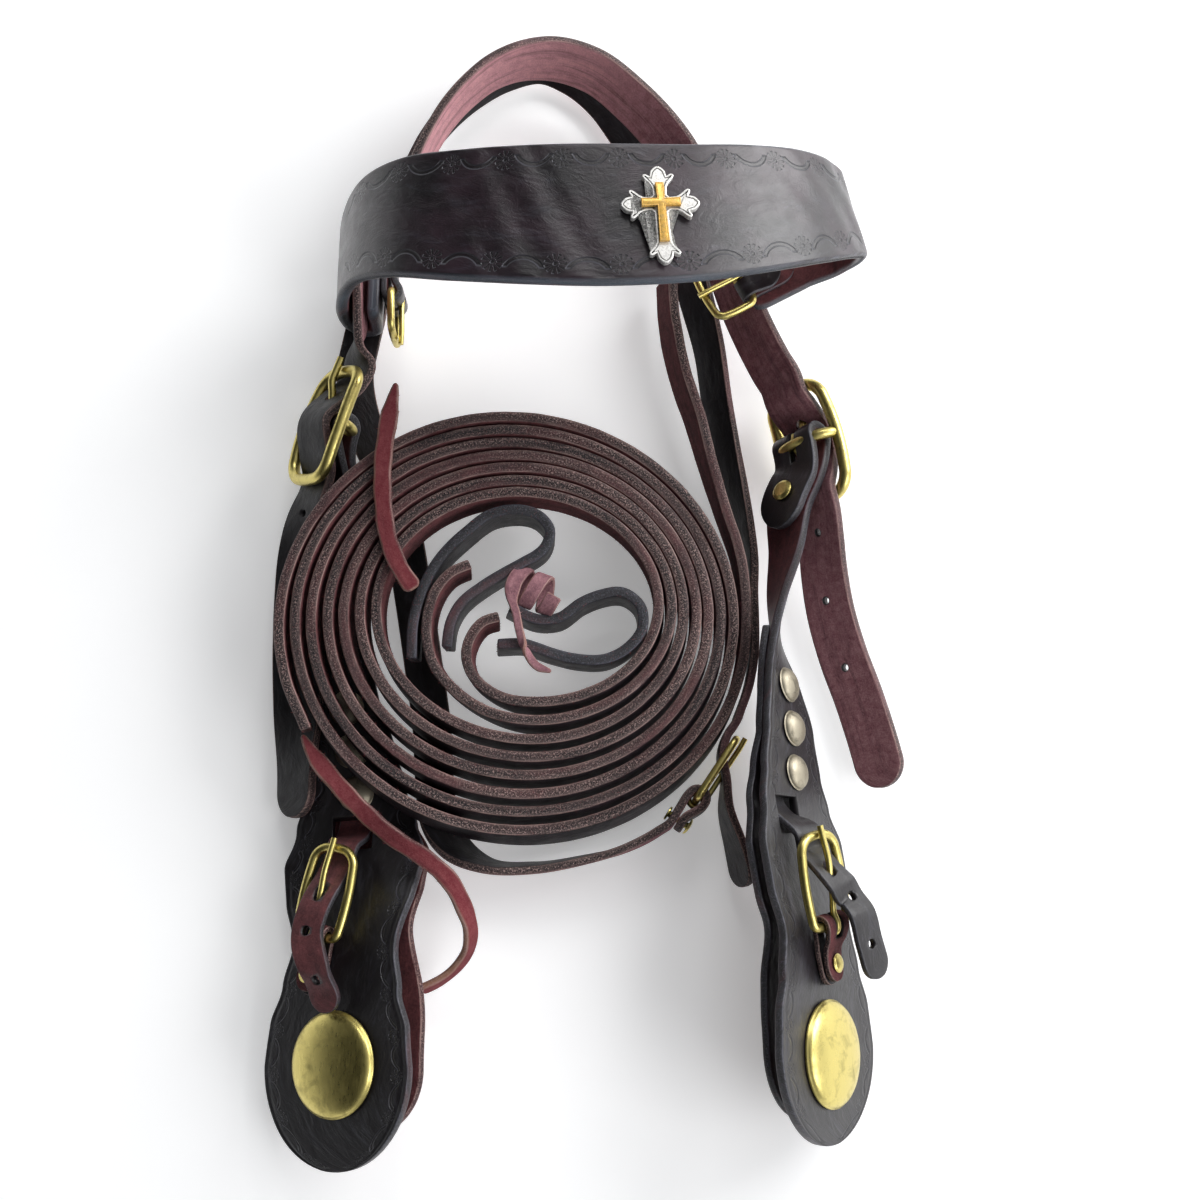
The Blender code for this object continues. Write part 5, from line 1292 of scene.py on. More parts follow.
def make_bit_buckle(cheek, main, home, flat, height):
    """The bit buckle, its chape and rivet, its tongue, and the billet through the slot."""
    side = cheek.side
    body = body_of_side(cheek)
    roll, lift = cheek.seat[2:]
    thick, billet_width = size("billet_thick"), size("billet_width")
    half = billet_width / 2 + SLOT_GAP + 0.3
    outline = loop_outline(BIT_LENGTH, half + BIT_WIRE, 2.6, 6.0, BIT_RISE, 0.0)
    ring = wire("bit_ring_" + side, [local(home, *p) for p in outline], BIT_WIRE, True)
    seat(ring, body, "brass", "bit_buckle_" + side)

    bend = BIT_WIRE + GAP + CHAPE_THICK / 2 + 0.15
    chape_path = fold_frames(home, bend, CHAPE_THICK, 20.0, 19.0, roll, lift - 0.3)
    chape = strap("bit_fold_" + side, chape_path, even(CHAPE_WIDTH / 2), CHAPE_THICK,
                  leather("lining"), FLESH_BELOW, 0.5, 0.9, 0.6, round_start=True, round_tail=True,
                  sway=0.0)
    bore(chape, [(metre_matrix(home), (-4.5, -BIT_TONGUE - SLOT_GAP, -5),
                  (6.5, BIT_TONGUE + SLOT_GAP, 6.5))])
    seat(chape, body, "chape_leather", "bit_chape_" + side)

    over = bend + CHAPE_THICK / 2 + GAP + thick / 2 + 0.2
    under = BIT_RISE - BIT_WIRE - GAP - thick / 2 - 0.15
    path = [(BIT_LENGTH + 1.0, 0, under - 0.2), (BIT_LENGTH - 4, 0, under + 0.1)]
    if side == "left":
        path += [(BIT_LENGTH - 10, 0, under + 2.0), (BIT_LENGTH - 17, 0, over - 1.9),
                 (BIT_LENGTH - 23, 0, over - 0.1), (1.0, 0, over + 0.1)]
    else:
        path += [(BIT_LENGTH - 8, 0, under + 2.7), (BIT_LENGTH - 12.5, -0.2, over - 1.5),
                 (BIT_LENGTH - 17, -2.0, over + 0.4), (BIT_LENGTH - 22, -4.6, over + 1.0)]
    wide = home.to_3x3() @ ALONG_Y
    stops = []
    behind = -size("face_thick") / 2 - GAP - thick / 2 - 0.1
    for a, n in ((15.0, behind), (12.0, behind + 0.1), (8.0, -0.8)):
        hidden = frame_at(main, BIT_FAR_BAR + cheek.late - a)
        v = (local(home, BIT_LENGTH + a, 0, 0) - hidden.p).dot(hidden.w)
        along = hidden.w if hidden.w.dot(wide) > 0 else -hidden.w
        stops.append((place(hidden, 0, v, n), along))
    stops += [(local(home, *row), wide) for row in path]
    stops += [(Vector(point), wide) for point in cheek.tail]
    billet_path = frames_of_rows(stops, 0.8)
    billet = strap("billet_" + side, billet_path, even(billet_width / 2), thick, leather("cheek"),
                   FLESH_BELOW if side == "left" else FLESH_ABOVE, 0.6, 0.8, 0.6, round_tail=True,
                   sway=0.0)
    top = bend - CHAPE_THICK / 2 + 0.2
    points = tongue_points(home, BIT_WIRE, BIT_TONGUE,
                           ((4, top), (9, top + 1.0), (15, top + 1.6), (21, BIT_RISE + 3.4)),
                           BIT_LENGTH, BIT_RISE + BIT_WIRE + GAP + BIT_TONGUE)
    holes = [(matrix_of(frame_at(billet_path, billet_path[-1].s - room)), 1.7, 4.0)
             for room in (12.0, 29.0)]
    bore(billet, holes)
    punch(billet, points[6:12], BIT_TONGUE + HOLE_PLAY)
    seat(billet, body, "cheek_leather", "bit_billet_" + side)
    tongue("bit_pin_" + side, "bit_tongue_" + side, points, BIT_TONGUE)

    rivet_seat = flat @ Matrix.Translation(Vector((-CHAPE_RIVET, 0, 0)))
    high = -bend - lift + 0.3 + 1.5 * CHAPE_THICK + 2 * GAP + 0.5
    at = BIT_FAR_BAR + BIT_LENGTH + CHAPE_RIVET
    back = -height - lining_depth(at) - size("lining_thick") / 2 - 1.3
    rivet("chape_rivet_" + side, rivet_seat, body, "bit_rivet_" + side, high, back)


# Crown strap and large buckles

CROWN_LEFT_TAIL = ((-102.4, -81, 9.4, 137), (-102.7, -62, 9.1, 140), (-103.1, -42, 9.0, 160),
                   (-103.4, -20, 10.8, 170), (-103.6, 0, 11.2, 166), (-103.4, 15, 11.4, 157),
                   (-101.8, 28, 13.6, 140))
CROWN_OVER = ((-84.4, 90, 18.0, 112), (-83.4, 98, 20.3, 94), (-83.3, 106, 21.0, 90),
              (-83.6, 118, 21.1, 90), (-83.0, 125.5, 21.0, 90), (-80.1, 133, 20.9, 89),
              (-73.4, 144, 21, 89),
              (-66, 156, 21.4, 90), (-59.6, 171, 21.7, 90), (-52.3, 184.3, 21.8, 88),
              (-44, 194.4, 21.8, 86), (-35.5, 201.6, 21.8, 83), (-25.5, 206, 21.8, 77),
              (-12, 207.2, 21.7, 66), (2.5, 202.6, 21.4, 60), (17.5, 190.2, 20.9, 55),
              (34.2, 169.8, 19.5, 50), (45.5, 145, 18.2, 50), (53, 125, 17.2, 50),
              (59, 107, 16.8, 50), (64.4, 94, 17.0, 50), (69.6, 83, 17.7, 50))
CROWN_RIGHT_TAIL = ((85.9, 20, 15.4, 47), (87.0, 9, 11.6, 43), (89.3, -6, 9.0, 40),
                    (93.4, -22, 8.3, 38), (98.8, -38, 8.2, 38), (105.4, -62, 8.2, 38),
                    (107.2, -70, 8.2, 38))
TAIL_HOLE = 1.4
TAIL_PITCH = 25.4
CART_TOP = CART_BOW + CART_WIRE + GAP + CART_TONGUE
CART_EYE = CART_BAR + GAP + CART_TONGUE + 0.05
CART_STEM = ((3, CART_EYE), (7, CART_EYE + 0.3), (12, CART_EYE + 1.9), (16, CART_TOP))


def weave(cheek, upward):
    """Stations of the crown strap through a large buckle, in travel order."""
    bar = cheek_bar(cheek)
    thick = size("crown_thick")
    over = fold_bend() + size("face_thick") / 2 + GAP + thick / 2 + 0.6
    under = CART_BOW - CART_WIRE - GAP - thick / 2 - 0.15
    half = CART_LENGTH / 2
    spots = [(half + 4, under - 0.3), (half - 3, under + 0.3), (half / 2, under + 4.6), (0, over),
             (-half / 2, under + 4.6), (-half + 3, under + 0.3), (-half - 4, under - 0.3)]
    if upward:
        spots.reverse()
    return [(*local(bar, a, 0, n), 90 + cheek.tilt) for a, n in spots]


def nearest(frames, point):
    return min(frames, key=lambda f: (f.p - point).length)


def make_crown():
    rows = list(CROWN_LEFT_TAIL) + weave(CHEEKS["left"], True) + list(CROWN_OVER)
    rows += weave(CHEEKS["right"], False) + list(CROWN_RIGHT_TAIL)
    path = strap_frames(rows)
    width = size("crown_width")
    lit = [nearest(path, Vector(point)).s for point in (CROWN_OVER[3][:3], CROWN_OVER[14][:3])]

    def pale(s):
        """The nap is palest over the poll and fades down the right side."""
        return smooth_share((s - lit[0]) / 15) * (1 - smooth_share((s - lit[1] + 10) / 60))

    crown = strap("crown", path, even(width / 2), size("crown_thick"), leather("crown"),
                  FLESH_ABOVE, 0.9, 0.9, 0.9, pale=pale, round_start=True, round_tail=True,
                  sway=0.2)
    holes = []
    for cheek, turn in ((CHEEKS["left"], -1), (CHEEKS["right"], 1)):
        bar = cheek_bar(cheek)
        crossing = nearest(path, local(bar, CART_LENGTH / 4, 0, CART_BOW))
        for k in range(1, 4):
            frame_ = frame_at(path, crossing.s + turn * (22 + k * TAIL_PITCH))
            holes.append((matrix_of(frame_), TAIL_HOLE, 5.0))
    bore(crown, holes)
    for cheek in CHEEKS.values():
        stem = [local(cheek_bar(cheek), a, 0, n) for a, n in CART_STEM]
        punch(crown, stem, CART_TONGUE + HOLE_PLAY)
    seat(crown, "root", "crown_leather", "crown_strap")


def make_large_buckle(cheek):
    """A bowed cast frame with a bar across its middle, and its tongue."""
    bar = cheek_bar(cheek)
    half = size("crown_width") / 2 + SLOT_GAP + 0.6 + CART_WIRE
    outline = loop_outline(CART_LENGTH, half, 8.0, 8.0, 0.0, 1.5)
    ring = [local(bar, a - CART_LENGTH / 2, v, n + CART_BOW) for a, v, n in outline]
    frame_ = wire("cart_frame_" + cheek.side, ring, CART_WIRE, True, 22)
    legs = [(-half, CART_BOW + 1.4), (-half + 0.1, 1.9), (-half + 1.1, 0), (half - 1.1, 0),
            (half - 0.1, 1.9), (half, CART_BOW + 1.4)]
    rod = wire("cart_bar_" + cheek.side, [local(bar, 0, v, n) for v, n in legs], CART_BAR, sides=20)
    combine(frame_, rod, "UNION")
    keep_edges(frame_.data, 50)
    seat(frame_, "root", "brass", "cheek_buckle_" + cheek.side)
    points = tongue_points(bar, CART_BAR, CART_TONGUE, CART_STEM, CART_LENGTH / 2, CART_TOP)
    tongue("cart_pin_" + cheek.side, "cheek_tongue_" + cheek.side, points, CART_TONGUE)


# Throatlatch

THROAT_BAR = Vector((39.7, -74.6, 10.6))
THROAT_AHEAD = Vector((0.56, 0.828, 0)).normalized()
THROAT_LENGTH = 25.0
THROAT_WIRE = 1.4
THROAT_TONGUE = 1.0
THROAT_LEFT = ((22.0, -88.2, 9.4, 90), (12.5, -92.4, 9.2, 88), (0, -95.6, 9.0, 84),
               (-18, -98.4, 8.6, 80), (-35, -97.4, 8.2, 72), (-46, -91.0, 6.2, 44),
               (-52, -81, 3.6, 14), (-54, -68, 2.2, 2),
               (-55.5, -48, 2.0, 0), (-59, -25, 2.0, 0), (-63.5, 2, 2.0, 0), (-68.5, 28, 2.0, 0),
               (-76, 50, 2.2, 2), (-84.5, 70, 3.0, 8), (-87.2, 86, 3.4, 12), (-85.4, 100, 2.3, 2),
               (-83.2, 112, 1.9, 0), (-81.6, 127, 2.1, 0), (-78.4, 139, 5.2, 26),
               (-73.6, 151, 8.0, 58), (-67.2, 165, 9.4, 76), (-61.4, 178, 9.4, 78),
               (-53.6, 189.6, 9.2, 74), (-43.8, 200.0, 8.6, 66), (-31, 208.8, 7.8, 56),
               (-17, 212.8, 6.8, 46), (-5.5, 208.8, 5.2, 32), (5.5, 199.8, 4.3, 22),
               (14.5, 187, 4.2, 21), (22.4, 172, 4.2, 22), (30.5, 153, 4.4, 24),
               (37.8, 133, 5.0, 29), (42.6, 114, 6.0, 38), (46.4, 97, 7.0, 47),
               (49.6, 72, 7.4, 50), (52.6, 54, 7.5, 54), (55.6, 40, 7.6, 62), (58.8, 25, 7.8, 74),
               (61.0, 12, 7.8, 84), (61.3, 0, 7.8, 90), (61.4, -10, 7.8, 90), (61.1, -22, 7.9, 90),
               (58.9, -34, 8.4, 90))
THROAT_FREE = (((50.4, -78.5, 8.6), 80), ((53.6, -91, 8.0), 68), ((56.8, -105, 7.6), 60))


def heel_ring(name, home, length, half, radius):
    outline = loop_outline(length, half + radius, 2.6, 3.5, 0.0, 0.0)
    return wire(name, [local(home, *point) for point in outline], radius, True)


def make_throatlatch():
    home = buckle_matrix(THROAT_BAR, THROAT_AHEAD, THROAT_AHEAD.cross(UP))
    thick = size("throat_thick")
    bend = THROAT_WIRE + GAP + thick / 2 + 0.1
    low = -bend + thick + GAP + 0.15
    start = [local(home, a, 0, low) for a in (-13.2, -10.5, -8)]
    start.append(local(home, -4, 0, (bend + low) / 2 + 0.4))
    start += [local(home, bend * math.sin(math.radians(d)), 0, bend * math.cos(math.radians(d)))
              for d in (0, 30, 60, 90, 120, 150, 180)]
    start += [local(home, a, 0, -bend) for a in (-6.5, -13)]
    length = THROAT_LENGTH
    under = -THROAT_WIRE - GAP - thick / 2 - 0.3
    through = [local(home, a, 0, n) for a, n in ((length + 6, under), (length, under),
                                                 (length - 7, under + 2.3), (length - 13, 4.4))]
    body = strap_frames([(*start[-1], 90)] + list(THROAT_LEFT) + [(*through[0], 90)])
    stops = [(point, UP) for point in start]
    stops += [(f.p, f.w) for f in body[2:-2]]
    stops += [(point, UP) for point in through]
    for point, lean in THROAT_FREE:
        lean = math.radians(lean)
        stops.append((Vector(point), Vector((math.cos(lean), 0, math.sin(lean)))))
    path = frames_of_rows(stops, 1.0)
    latch = strap("throatlatch", path, even(size("throat_width") / 2), thick, leather("crown"),
                  FLESH_BELOW, 0.9, 1.0, 0.7, round_start=True, round_tail=True, sway=0.15)
    bore(latch, [(metre_matrix(home), (-5, -THROAT_TONGUE - SLOT_GAP, -6),
                  (7, THROAT_TONGUE + SLOT_GAP, 6))])
    top = THROAT_WIRE + GAP + THROAT_TONGUE + 0.05
    points = tongue_points(home, THROAT_WIRE, THROAT_TONGUE,
                           ((4, top), (9, top), (14, top), (19, top)), length, top)
    punch(latch, points[8:12], THROAT_TONGUE + HOLE_PLAY)
    seat(latch, "root", "throat_leather", "throatlatch_strap")
    ring = heel_ring("throat_ring", home, length, size("throat_width") / 2 + SLOT_GAP, THROAT_WIRE)
    seat(ring, "root", "brass", "throatlatch_buckle")
    tongue("throat_pin", "throatlatch_tongue", points, THROAT_TONGUE)
    rivet_seat = home @ Matrix.Translation(Vector((-9.6, 0, -bend)))
    low = -thick / 2 - GAP - 0.2
    high = thick * 1.5 + 2 * GAP + 0.6
    rivet("throat_rivet", rivet_seat, "root", "throatlatch_rivet", high, low)


# Browband

BROW_CHAPE_WIDTH = 17.0
BROW_CHAPE_THICK = 2.4
BROW_BUCKLE_LENGTH = 15.0
BROW_WIRE = 1.4
BROW_TONGUE = 1.0
BROW_ROUTE = ((-77.7, 112, 29, 90), (-77.7, 112, 18, 90), (-79.0, 112.4, 9.8, 90),
              (-83.2, 113, 6.2, 90), (-87.4, 113.5, 9.8, 90), (-88.9, 114, 18, 90),
              (-88.4, 116, 30, 89), (-84.8, 118.5, 45, 88), (-77.6, 119.5, 60, 87),
              (-63.6, 117.5, 75, 86), (-42, 113.6, 85.5, 86), (-15, 111, 91.5, 86),
              (10, 110.2, 93, 86), (36, 112, 90.5, 86), (60, 117.5, 82.5, 85), (78, 123.5, 71, 83),
              (89.6, 128.6, 57.5, 79), (94.8, 131, 47, 76), (94.4, 131, 38.6, 76),
              (89, 128.6, 31.8, 82), (80, 124.0, 29.1, 88), (69, 118.2, 28.6, 90),
              (57.5, 112.2, 28.5, 90))
BROW_BUCKLES = {
    "left": (Vector((-71.0, 110.4, 19.5)), Vector((0.02, -1, 0)), Vector((1, 0, 0)), 20.0, 12.0),
    "right": (Vector((57, 112.4, 35.3)), Vector((-0.885, -0.463, -0.01)), Vector((-0.01, 0, 1)),
              21.0, 15.0),
}
BROW_STAMPS = (84.0, 284.0, BROW_TOOLING[0])


def make_browband():
    """The tooled band, creased as it lies, and a small buckle at each end."""
    path = strap_frames(BROW_ROUTE, ALONG_Y)
    length = path[-1].s
    broad, narrow = size("brow_width") / 2, size("brow_end") / 2

    def half(s):
        share = np.minimum(np.abs(s - length * 0.515) / (length * 0.42), 1.0)
        out = narrow + (broad - narrow) * (1 - share ** 1.75)
        return np.minimum(out, round_half(s, narrow, -6.0, length + 6.0, True, True)
                          + ((s > 8) & (s < length - 8)) * 1e3)

    def relief(s, v):
        crease = 0.2 * np.sin(s / 3.1 + v / 5.0 + 2 * np.sin(s / 23)) * smooth_share(
            (np.sin(s / 19 + v / 31) - 0.2) / 0.5)
        return crease, 0.0

    band = strap("brow_band", path, half, size("brow_thick"), leather("browband"), FLESH_BELOW,
                 0.8, 0.8, 1.3, relief=relief, tooled=BROW_STAMPS)
    seat(band, "root", "browband_leather", "browband")
    for side, (bar, ahead, normal, low_leg, high_leg) in BROW_BUCKLES.items():
        make_brow_buckle(side, buckle_matrix(bar, ahead, normal), low_leg, high_leg)


def make_brow_buckle(side, home, low_leg, high_leg):
    """A small wire buckle on a short chape riveted to the end of the band."""
    half = BROW_CHAPE_WIDTH / 2 + SLOT_GAP
    ring = heel_ring("brow_ring_" + side, home, BROW_BUCKLE_LENGTH, half, BROW_WIRE)
    seat(ring, "root", "brass", "browband_buckle_" + side)
    bend = BROW_WIRE + GAP + BROW_CHAPE_THICK / 2
    path = fold_frames(home, bend, BROW_CHAPE_THICK, low_leg, high_leg)
    chape = strap("brow_fold_" + side, path, even(BROW_CHAPE_WIDTH / 2), BROW_CHAPE_THICK,
                  leather("cheek"), FLESH_ABOVE, 0.5, 0.9, 0.7, round_start=True, round_tail=True,
                  sway=0.0)
    bore(chape, [(metre_matrix(home), (-5, -BROW_TONGUE - SLOT_GAP, -5),
                  (6, BROW_TONGUE + SLOT_GAP, 6))])
    seat(chape, "root", "chape_leather", "browband_chape_" + side)
    top = BROW_WIRE + GAP + BROW_TONGUE
    points = tongue_points(home, BROW_WIRE, BROW_TONGUE, ((4, top), (9, top)), BROW_BUCKLE_LENGTH,
                           top)
    tongue("brow_pin_" + side, "browband_tongue_" + side, points, BROW_TONGUE)
    rivet_seat = Matrix.Translation(home.to_3x3() @ Vector((-12.0, 0, -bend))) @ home
    low = -BROW_CHAPE_THICK / 2 - size("brow_thick") - 2 * GAP - 0.05
    high = BROW_CHAPE_THICK * 1.5 + 2 * GAP + 0.45
    profile = [(0, high + 0.9)] + dome(2.8, high + 0.25, 0.65, 6) + [(2.8, high), (1.0, high)]
    profile += [(1.0, low), (2.2, low), (2.2, low - 0.5), (0, low - 0.5)]
    made = lathe("brow_rivet_" + side, rounded(profile, 0.2), metre_matrix(rivet_seat), brass(), 28)
    seat(made, "root", "brass", "browband_rivet_" + side)


# Cross ornament

CROSS_HEIGHT = 35.0
CROSS_WIDTH = 26.0
CROSS_THICK = 2.0
OVERLAY_THICK = 1.2


def cross_outline(reach_down, reach_up, reach_side):
    """A cross whose flared arms end in three leaves."""
    points = []
    arms = ((90, reach_up), (0, reach_side), (-90, reach_down), (180, reach_side))
    for degrees, reach in arms:
        ahead = Vector((math.cos(math.radians(degrees)), math.sin(math.radians(degrees))))
        right = Vector((-ahead.y, ahead.x))
        spots = [(3.2, 2.3), (reach - 7.6, 2.5), (reach - 6.2, 3.2), (reach - 5.0, 4.3),
                 (reach - 4.1, 5.0), (reach - 3.4, 5.2), (reach - 2.9, 4.9), (reach - 2.8, 4.1),
                 (reach - 3.4, 3.2), (reach - 3.6, 2.7), (reach - 2.6, 2.6), (reach - 1.6, 2.3),
                 (reach - 0.7, 1.5), (reach, 0.5)]
        points += [ahead * a + right * out for a, out in spots]
        points += [ahead * a - right * out for a, out in reversed(spots)]
    return [(point.x, point.y) for point in points]


def plate(name, outline, thick, rim, sunk, age, matrix, material):
    """A flat plate with eased edges and a sunk field inside a raised rim."""
    made = bmesh.new()
    ring = [made.verts.new((x * MM, y * MM, thick / 2 * MM)) for x, y in outline]
    top = made.faces.new(ring)
    drawn = bmesh.ops.extrude_face_region(made, geom=[top])["geom"]
    bmesh.ops.translate(made, verts=[v for v in drawn if isinstance(v, bmesh.types.BMVert)],
                        vec=(0, 0, -thick * MM))
    bmesh.ops.recalc_face_normals(made, faces=made.faces)
    face = max(made.faces, key=lambda f: f.calc_center_median().z)
    bmesh.ops.inset_region(made, faces=[face], thickness=0.22 * MM, depth=0.12 * MM)
    bmesh.ops.inset_region(made, faces=[face], thickness=rim * MM, depth=0.0)
    bmesh.ops.inset_region(made, faces=[face], thickness=0.16 * MM, depth=-sunk * MM)
    bmesh.ops.inset_region(made, faces=[face], thickness=0.3 * MM, depth=0.8 * sunk * MM)
    groove = {edge.other_vert(v) for v in face.verts for edge in v.link_edges} - set(face.verts)
    made.verts.index_update()
    hollow = {v.index for v in groove}
    mesh = bpy.data.meshes.new(name)
    made.to_mesh(mesh)
    made.free()
    store(mesh, "hollow", [age if i in hollow else 0.0 for i in range(len(mesh.vertices))])
    mesh.materials.append(material)
    keep_edges(mesh, 25)
    return settle(link(name, mesh), matrix)


def make_cross():
    """The ornament: a silver cross, a small gold cross on it and its screw."""
    path = strap_frames(BROW_ROUTE, ALONG_Y)
    frame_ = frame_at(path, min(path, key=lambda f: (f.p - Vector((24.6, 112, 92))).length).s)
    middle = -1.1
    thick = size("brow_thick")
    top = thick / 2 + GAP + CROSS_THICK / 2
    home = matrix_of(frame_, -middle, top)
    up = CROSS_HEIGHT * 0.39
    outline = cross_outline(CROSS_HEIGHT - up, up, CROSS_WIDTH / 2)
    silver = plate("silver_cross", outline, CROSS_THICK, 0.4, 0.4, 1.0, home,
                   aged_silver("aged silver", "silver"))
    seat(silver, "root", "silver", "cross_ornament")
    arm = 1.3
    low, high, wide = CROSS_HEIGHT * 0.4, CROSS_HEIGHT * 0.2, CROSS_WIDTH * 0.25
    inner = ((-arm * 1.25, -low), (arm * 1.25, -low), (arm, -arm), (wide, -arm * 1.1),
             (wide, arm * 1.1), (arm, arm), (arm * 1.1, high), (-arm * 1.1, high), (-arm, arm),
             (-wide, arm * 1.1), (-wide, -arm * 1.1), (-arm, -arm))
    on_top = matrix_of(frame_, -middle, top + (CROSS_THICK + OVERLAY_THICK) / 2 + GAP)
    gold = plate("gold_cross", inner, OVERLAY_THICK, 0.3, 0.1, 0.3, on_top,
                 aged_silver("aged gold", "gold"))
    seat(gold, "root", "brass", "cross_overlay")
    start = -(CROSS_THICK / 2 + GAP)
    end = -(CROSS_THICK / 2 + 2 * GAP + thick)
    profile = [(0, start), (1.5, start), (1.5, end), (3.6, end), (3.6, end - 1.0), (0, end - 1.0)]
    screw = lathe("cross_bolt", rounded(profile, 0.2), home, nickel(), 28)
    seat(screw, "root", "nickel", "cross_screw")


# Reins

COIL_IN = ((-20.0, -7.1), (44.4, 35.4))
COIL_OUT = ((-24.15, -13.75), (79.45, 73.55))
COIL_LAYERS = 7
POINTS_A_TURN = 26
COIL_START = 8.0
COIL_LEAN = 7.5
TABLE_TILT = (10.6, -0.0866, 0.0794)
REIN_A_END = ((-40.8, 6.2), (-46.8, 3.4), (-51.8, -2.6), (-54.6, -11.2), (-54.8, -20.5),
              (-52.4, -29.0), (-47.0, -36.0), (-38.6, -42.6))
REIN_B_END = ((-30.4, -12.2), (-35.4, -13.8), (-39.4, -18.6), (-41.2, -25.4), (-39.0, -32.4),
              (-33.0, -38.0))
REIN_A_LEAVES = ((57.4, -2, 12.6, 90), (55.7, 12, 12.8, 91), (50.3, 30, 12.8, 93),
                 (45.2, 48, 12.8, 97), (40.6, 66, 12.8, 101), (36.2, 80, 12.8, 102),
                 (33.2, 93, 12.8, 104), (31.2, 107, 12.8, 104), (30.6, 121, 12.8, 104))
LOOP_A = ((-60.4, -26.5), (-59.9, -14), (-57.0, -2.9), (-50.6, 9.0), (-41, 18.8), (-34.2, 24.2),
          (-25.6, 26.4), (-17.0, 24.8), (-12.6, 19.6), (-14.6, 13.0), (-21.0, 8.4), (-29.2, 3.6),
          (-37.0, -1.6), (-43.6, -7.4), (-47.2, -14.5), (-48.2, -22.5))
LOOP_B = ((-27.0, -8.0), (-16.4, -12.6), (-8.2, -11.6), (-2.2, -7.0), (5, -3.6), (14, -2.6),
          (19.8, -7.2), (20.4, -15.4), (15.4, -22.0), (7.6, -26.2), (-2.5, -26.4), (-12.6, -24.1),
          (-21.0, -21.4), (-31.0, -21.6))


def on_edge(x, y, lean=90.0):
    """A station of a strap that stands on edge on the sloping bed below the coil."""
    bed = TABLE_TILT[0] + TABLE_TILT[1] * x + TABLE_TILT[2] * y
    return (x, y, bed + size("rein_width") / 2, lean)


def coil_turns(first_layer, count):
    """Stations of one rein's turns from the lower side on; there their tops lean inward."""
    points = []
    for k in range(count):
        run = COIL_START + 360 * k / POINTS_A_TURN
        share = (first_layer + run / 180) / COIL_LAYERS
        angle = math.radians(270 + run)
        centre = [a + (b - a) * share for a, b in zip(COIL_IN[0], COIL_OUT[0])]
        reach = [a + (b - a) * share for a, b in zip(COIL_IN[1], COIL_OUT[1])]
        lean = 90 - COIL_LEAN * max(0.0, -math.sin(angle))
        points.append(on_edge(centre[0] + reach[0] * math.cos(angle),
                              centre[1] + reach[1] * math.sin(angle), lean))
    return points


def led_in(lead, turns):
    """The rows of a lead, smoothed up to the first of the turns."""
    return blend_rows(list(lead) + turns[:3], 5.0)[:-1 - steps_of(turns[:3], 5.0)]


def rein(name, rows, node, restless, kind="rein"):
    """A flat rein on edge; it leans and rises a little, as a handled coil does."""
    def stirred(row, run):
        z = 0.35 * math.sin(run / 41 + restless) + 0.25 * math.sin(run / 17 + 2 * restless)
        lean = 1.6 * math.sin(run / 53 + restless) + 0.8 * math.sin(run / 23)
        return (row[0], row[1], row[2] + z, row[3] + lean)

    run = 0.0
    out = []
    for before, row in zip([rows[0]] + rows, rows):
        run += math.dist(before[:3], row[:3])
        out.append(stirred(row, run))
    path = strap_frames(out, step=1.3)
    width = size("rein_width")

    def half(s):
        nicks = 0.16 * np.sin(s / 2.3 + restless) * np.sin(s / 9.1)
        return width / 2 + nicks + 0.1 * np.sin(s / 31)

    raw = FLESH_BELOW if kind == "rein" else FLESH_NONE
    made = strap(name, path, half, size("rein_thick"), leather(kind), raw, 1.3, 2.0, 0.7, sway=0.1)
    add_fibres(name + "_fibres", made, "flesh", "flesh_pale")
    seat(made, "root", "rein_leather", node)


def make_reins():
    turns_a = coil_turns(1, 84)
    turns_b = coil_turns(0, 100)
    lead_a = led_in([on_edge(*p) for p in REIN_A_END], turns_a)
    lead_b = led_in([on_edge(*p) for p in REIN_B_END], turns_b)
    leaves = blend_rows(turns_a[-3:] + list(REIN_A_LEAVES), 7.0)
    leaves = leaves[steps_of(turns_a[-3:], 7.0) + 1:]
    rein("rein_outer", lead_a + turns_a + leaves, "rein_a", 0.4)
    rein("rein_inner", lead_b + turns_b, "rein_b", 2.1)
    for side, loop, restless in (("a", LOOP_A, 3.3), ("b", LOOP_B, 4.7)):
        rows = blend_rows([on_edge(*point) for point in loop], 4.5)
        rein("rein_bight_" + side, rows, "rein_loop_" + side, restless, "rein end")


def add_fibres(name, piece, shade, nap):
    """Join loose fibres to a raw leather piece."""
    mesh = piece.data
    count = len(mesh.vertices)
    raw = np.zeros(count, np.float32)
    rim = np.zeros(count, np.float32)
    mesh.attributes["flesh"].data.foreach_get("value", raw)
    mesh.attributes["rim"].data.foreach_get("value", rim)
    store(mesh, "nap", np.maximum(raw * 0.5, rim))
    settings = bpy.context.scene.headstall_sizes
    fibres = grown_mesh(name, piece, fibre_tree(),
                        {"Fibre length": settings.fibre_length, "Seed": settings.fibre_seed,
                         "Fibres a square metre": 350000.0, "Nap": fibre_leather(shade, nap)})
    made = bmesh.new()
    made.from_mesh(mesh)
    base = len(mesh.materials)
    first = len(made.faces)
    made.from_mesh(fibres.data)
    made.faces.ensure_lookup_table()
    for face in made.faces[first:]:
        face.material_index = base
    mesh.materials.append(fibre_leather(shade, nap))
    made.to_mesh(mesh)
    made.free()
    bpy.data.objects.remove(fibres, do_unlink=True)


@cache
def fibre_leather(shade, nap):
    """Loose fibres, each lighter or darker by its place."""
    r = Recipe("leather fibre " + nap)
    spot = r.add("ShaderNodeTexCoord", {}, "Object")
    tone = r.mix(r.noise(spot, 900, 2), colour(shade), colour(nap))
    normal = r.bump(r.noise(spot, 4000, 2), 0.2, 0.0001)
    return r.finish(tone, 0.9, normal)


# Laces

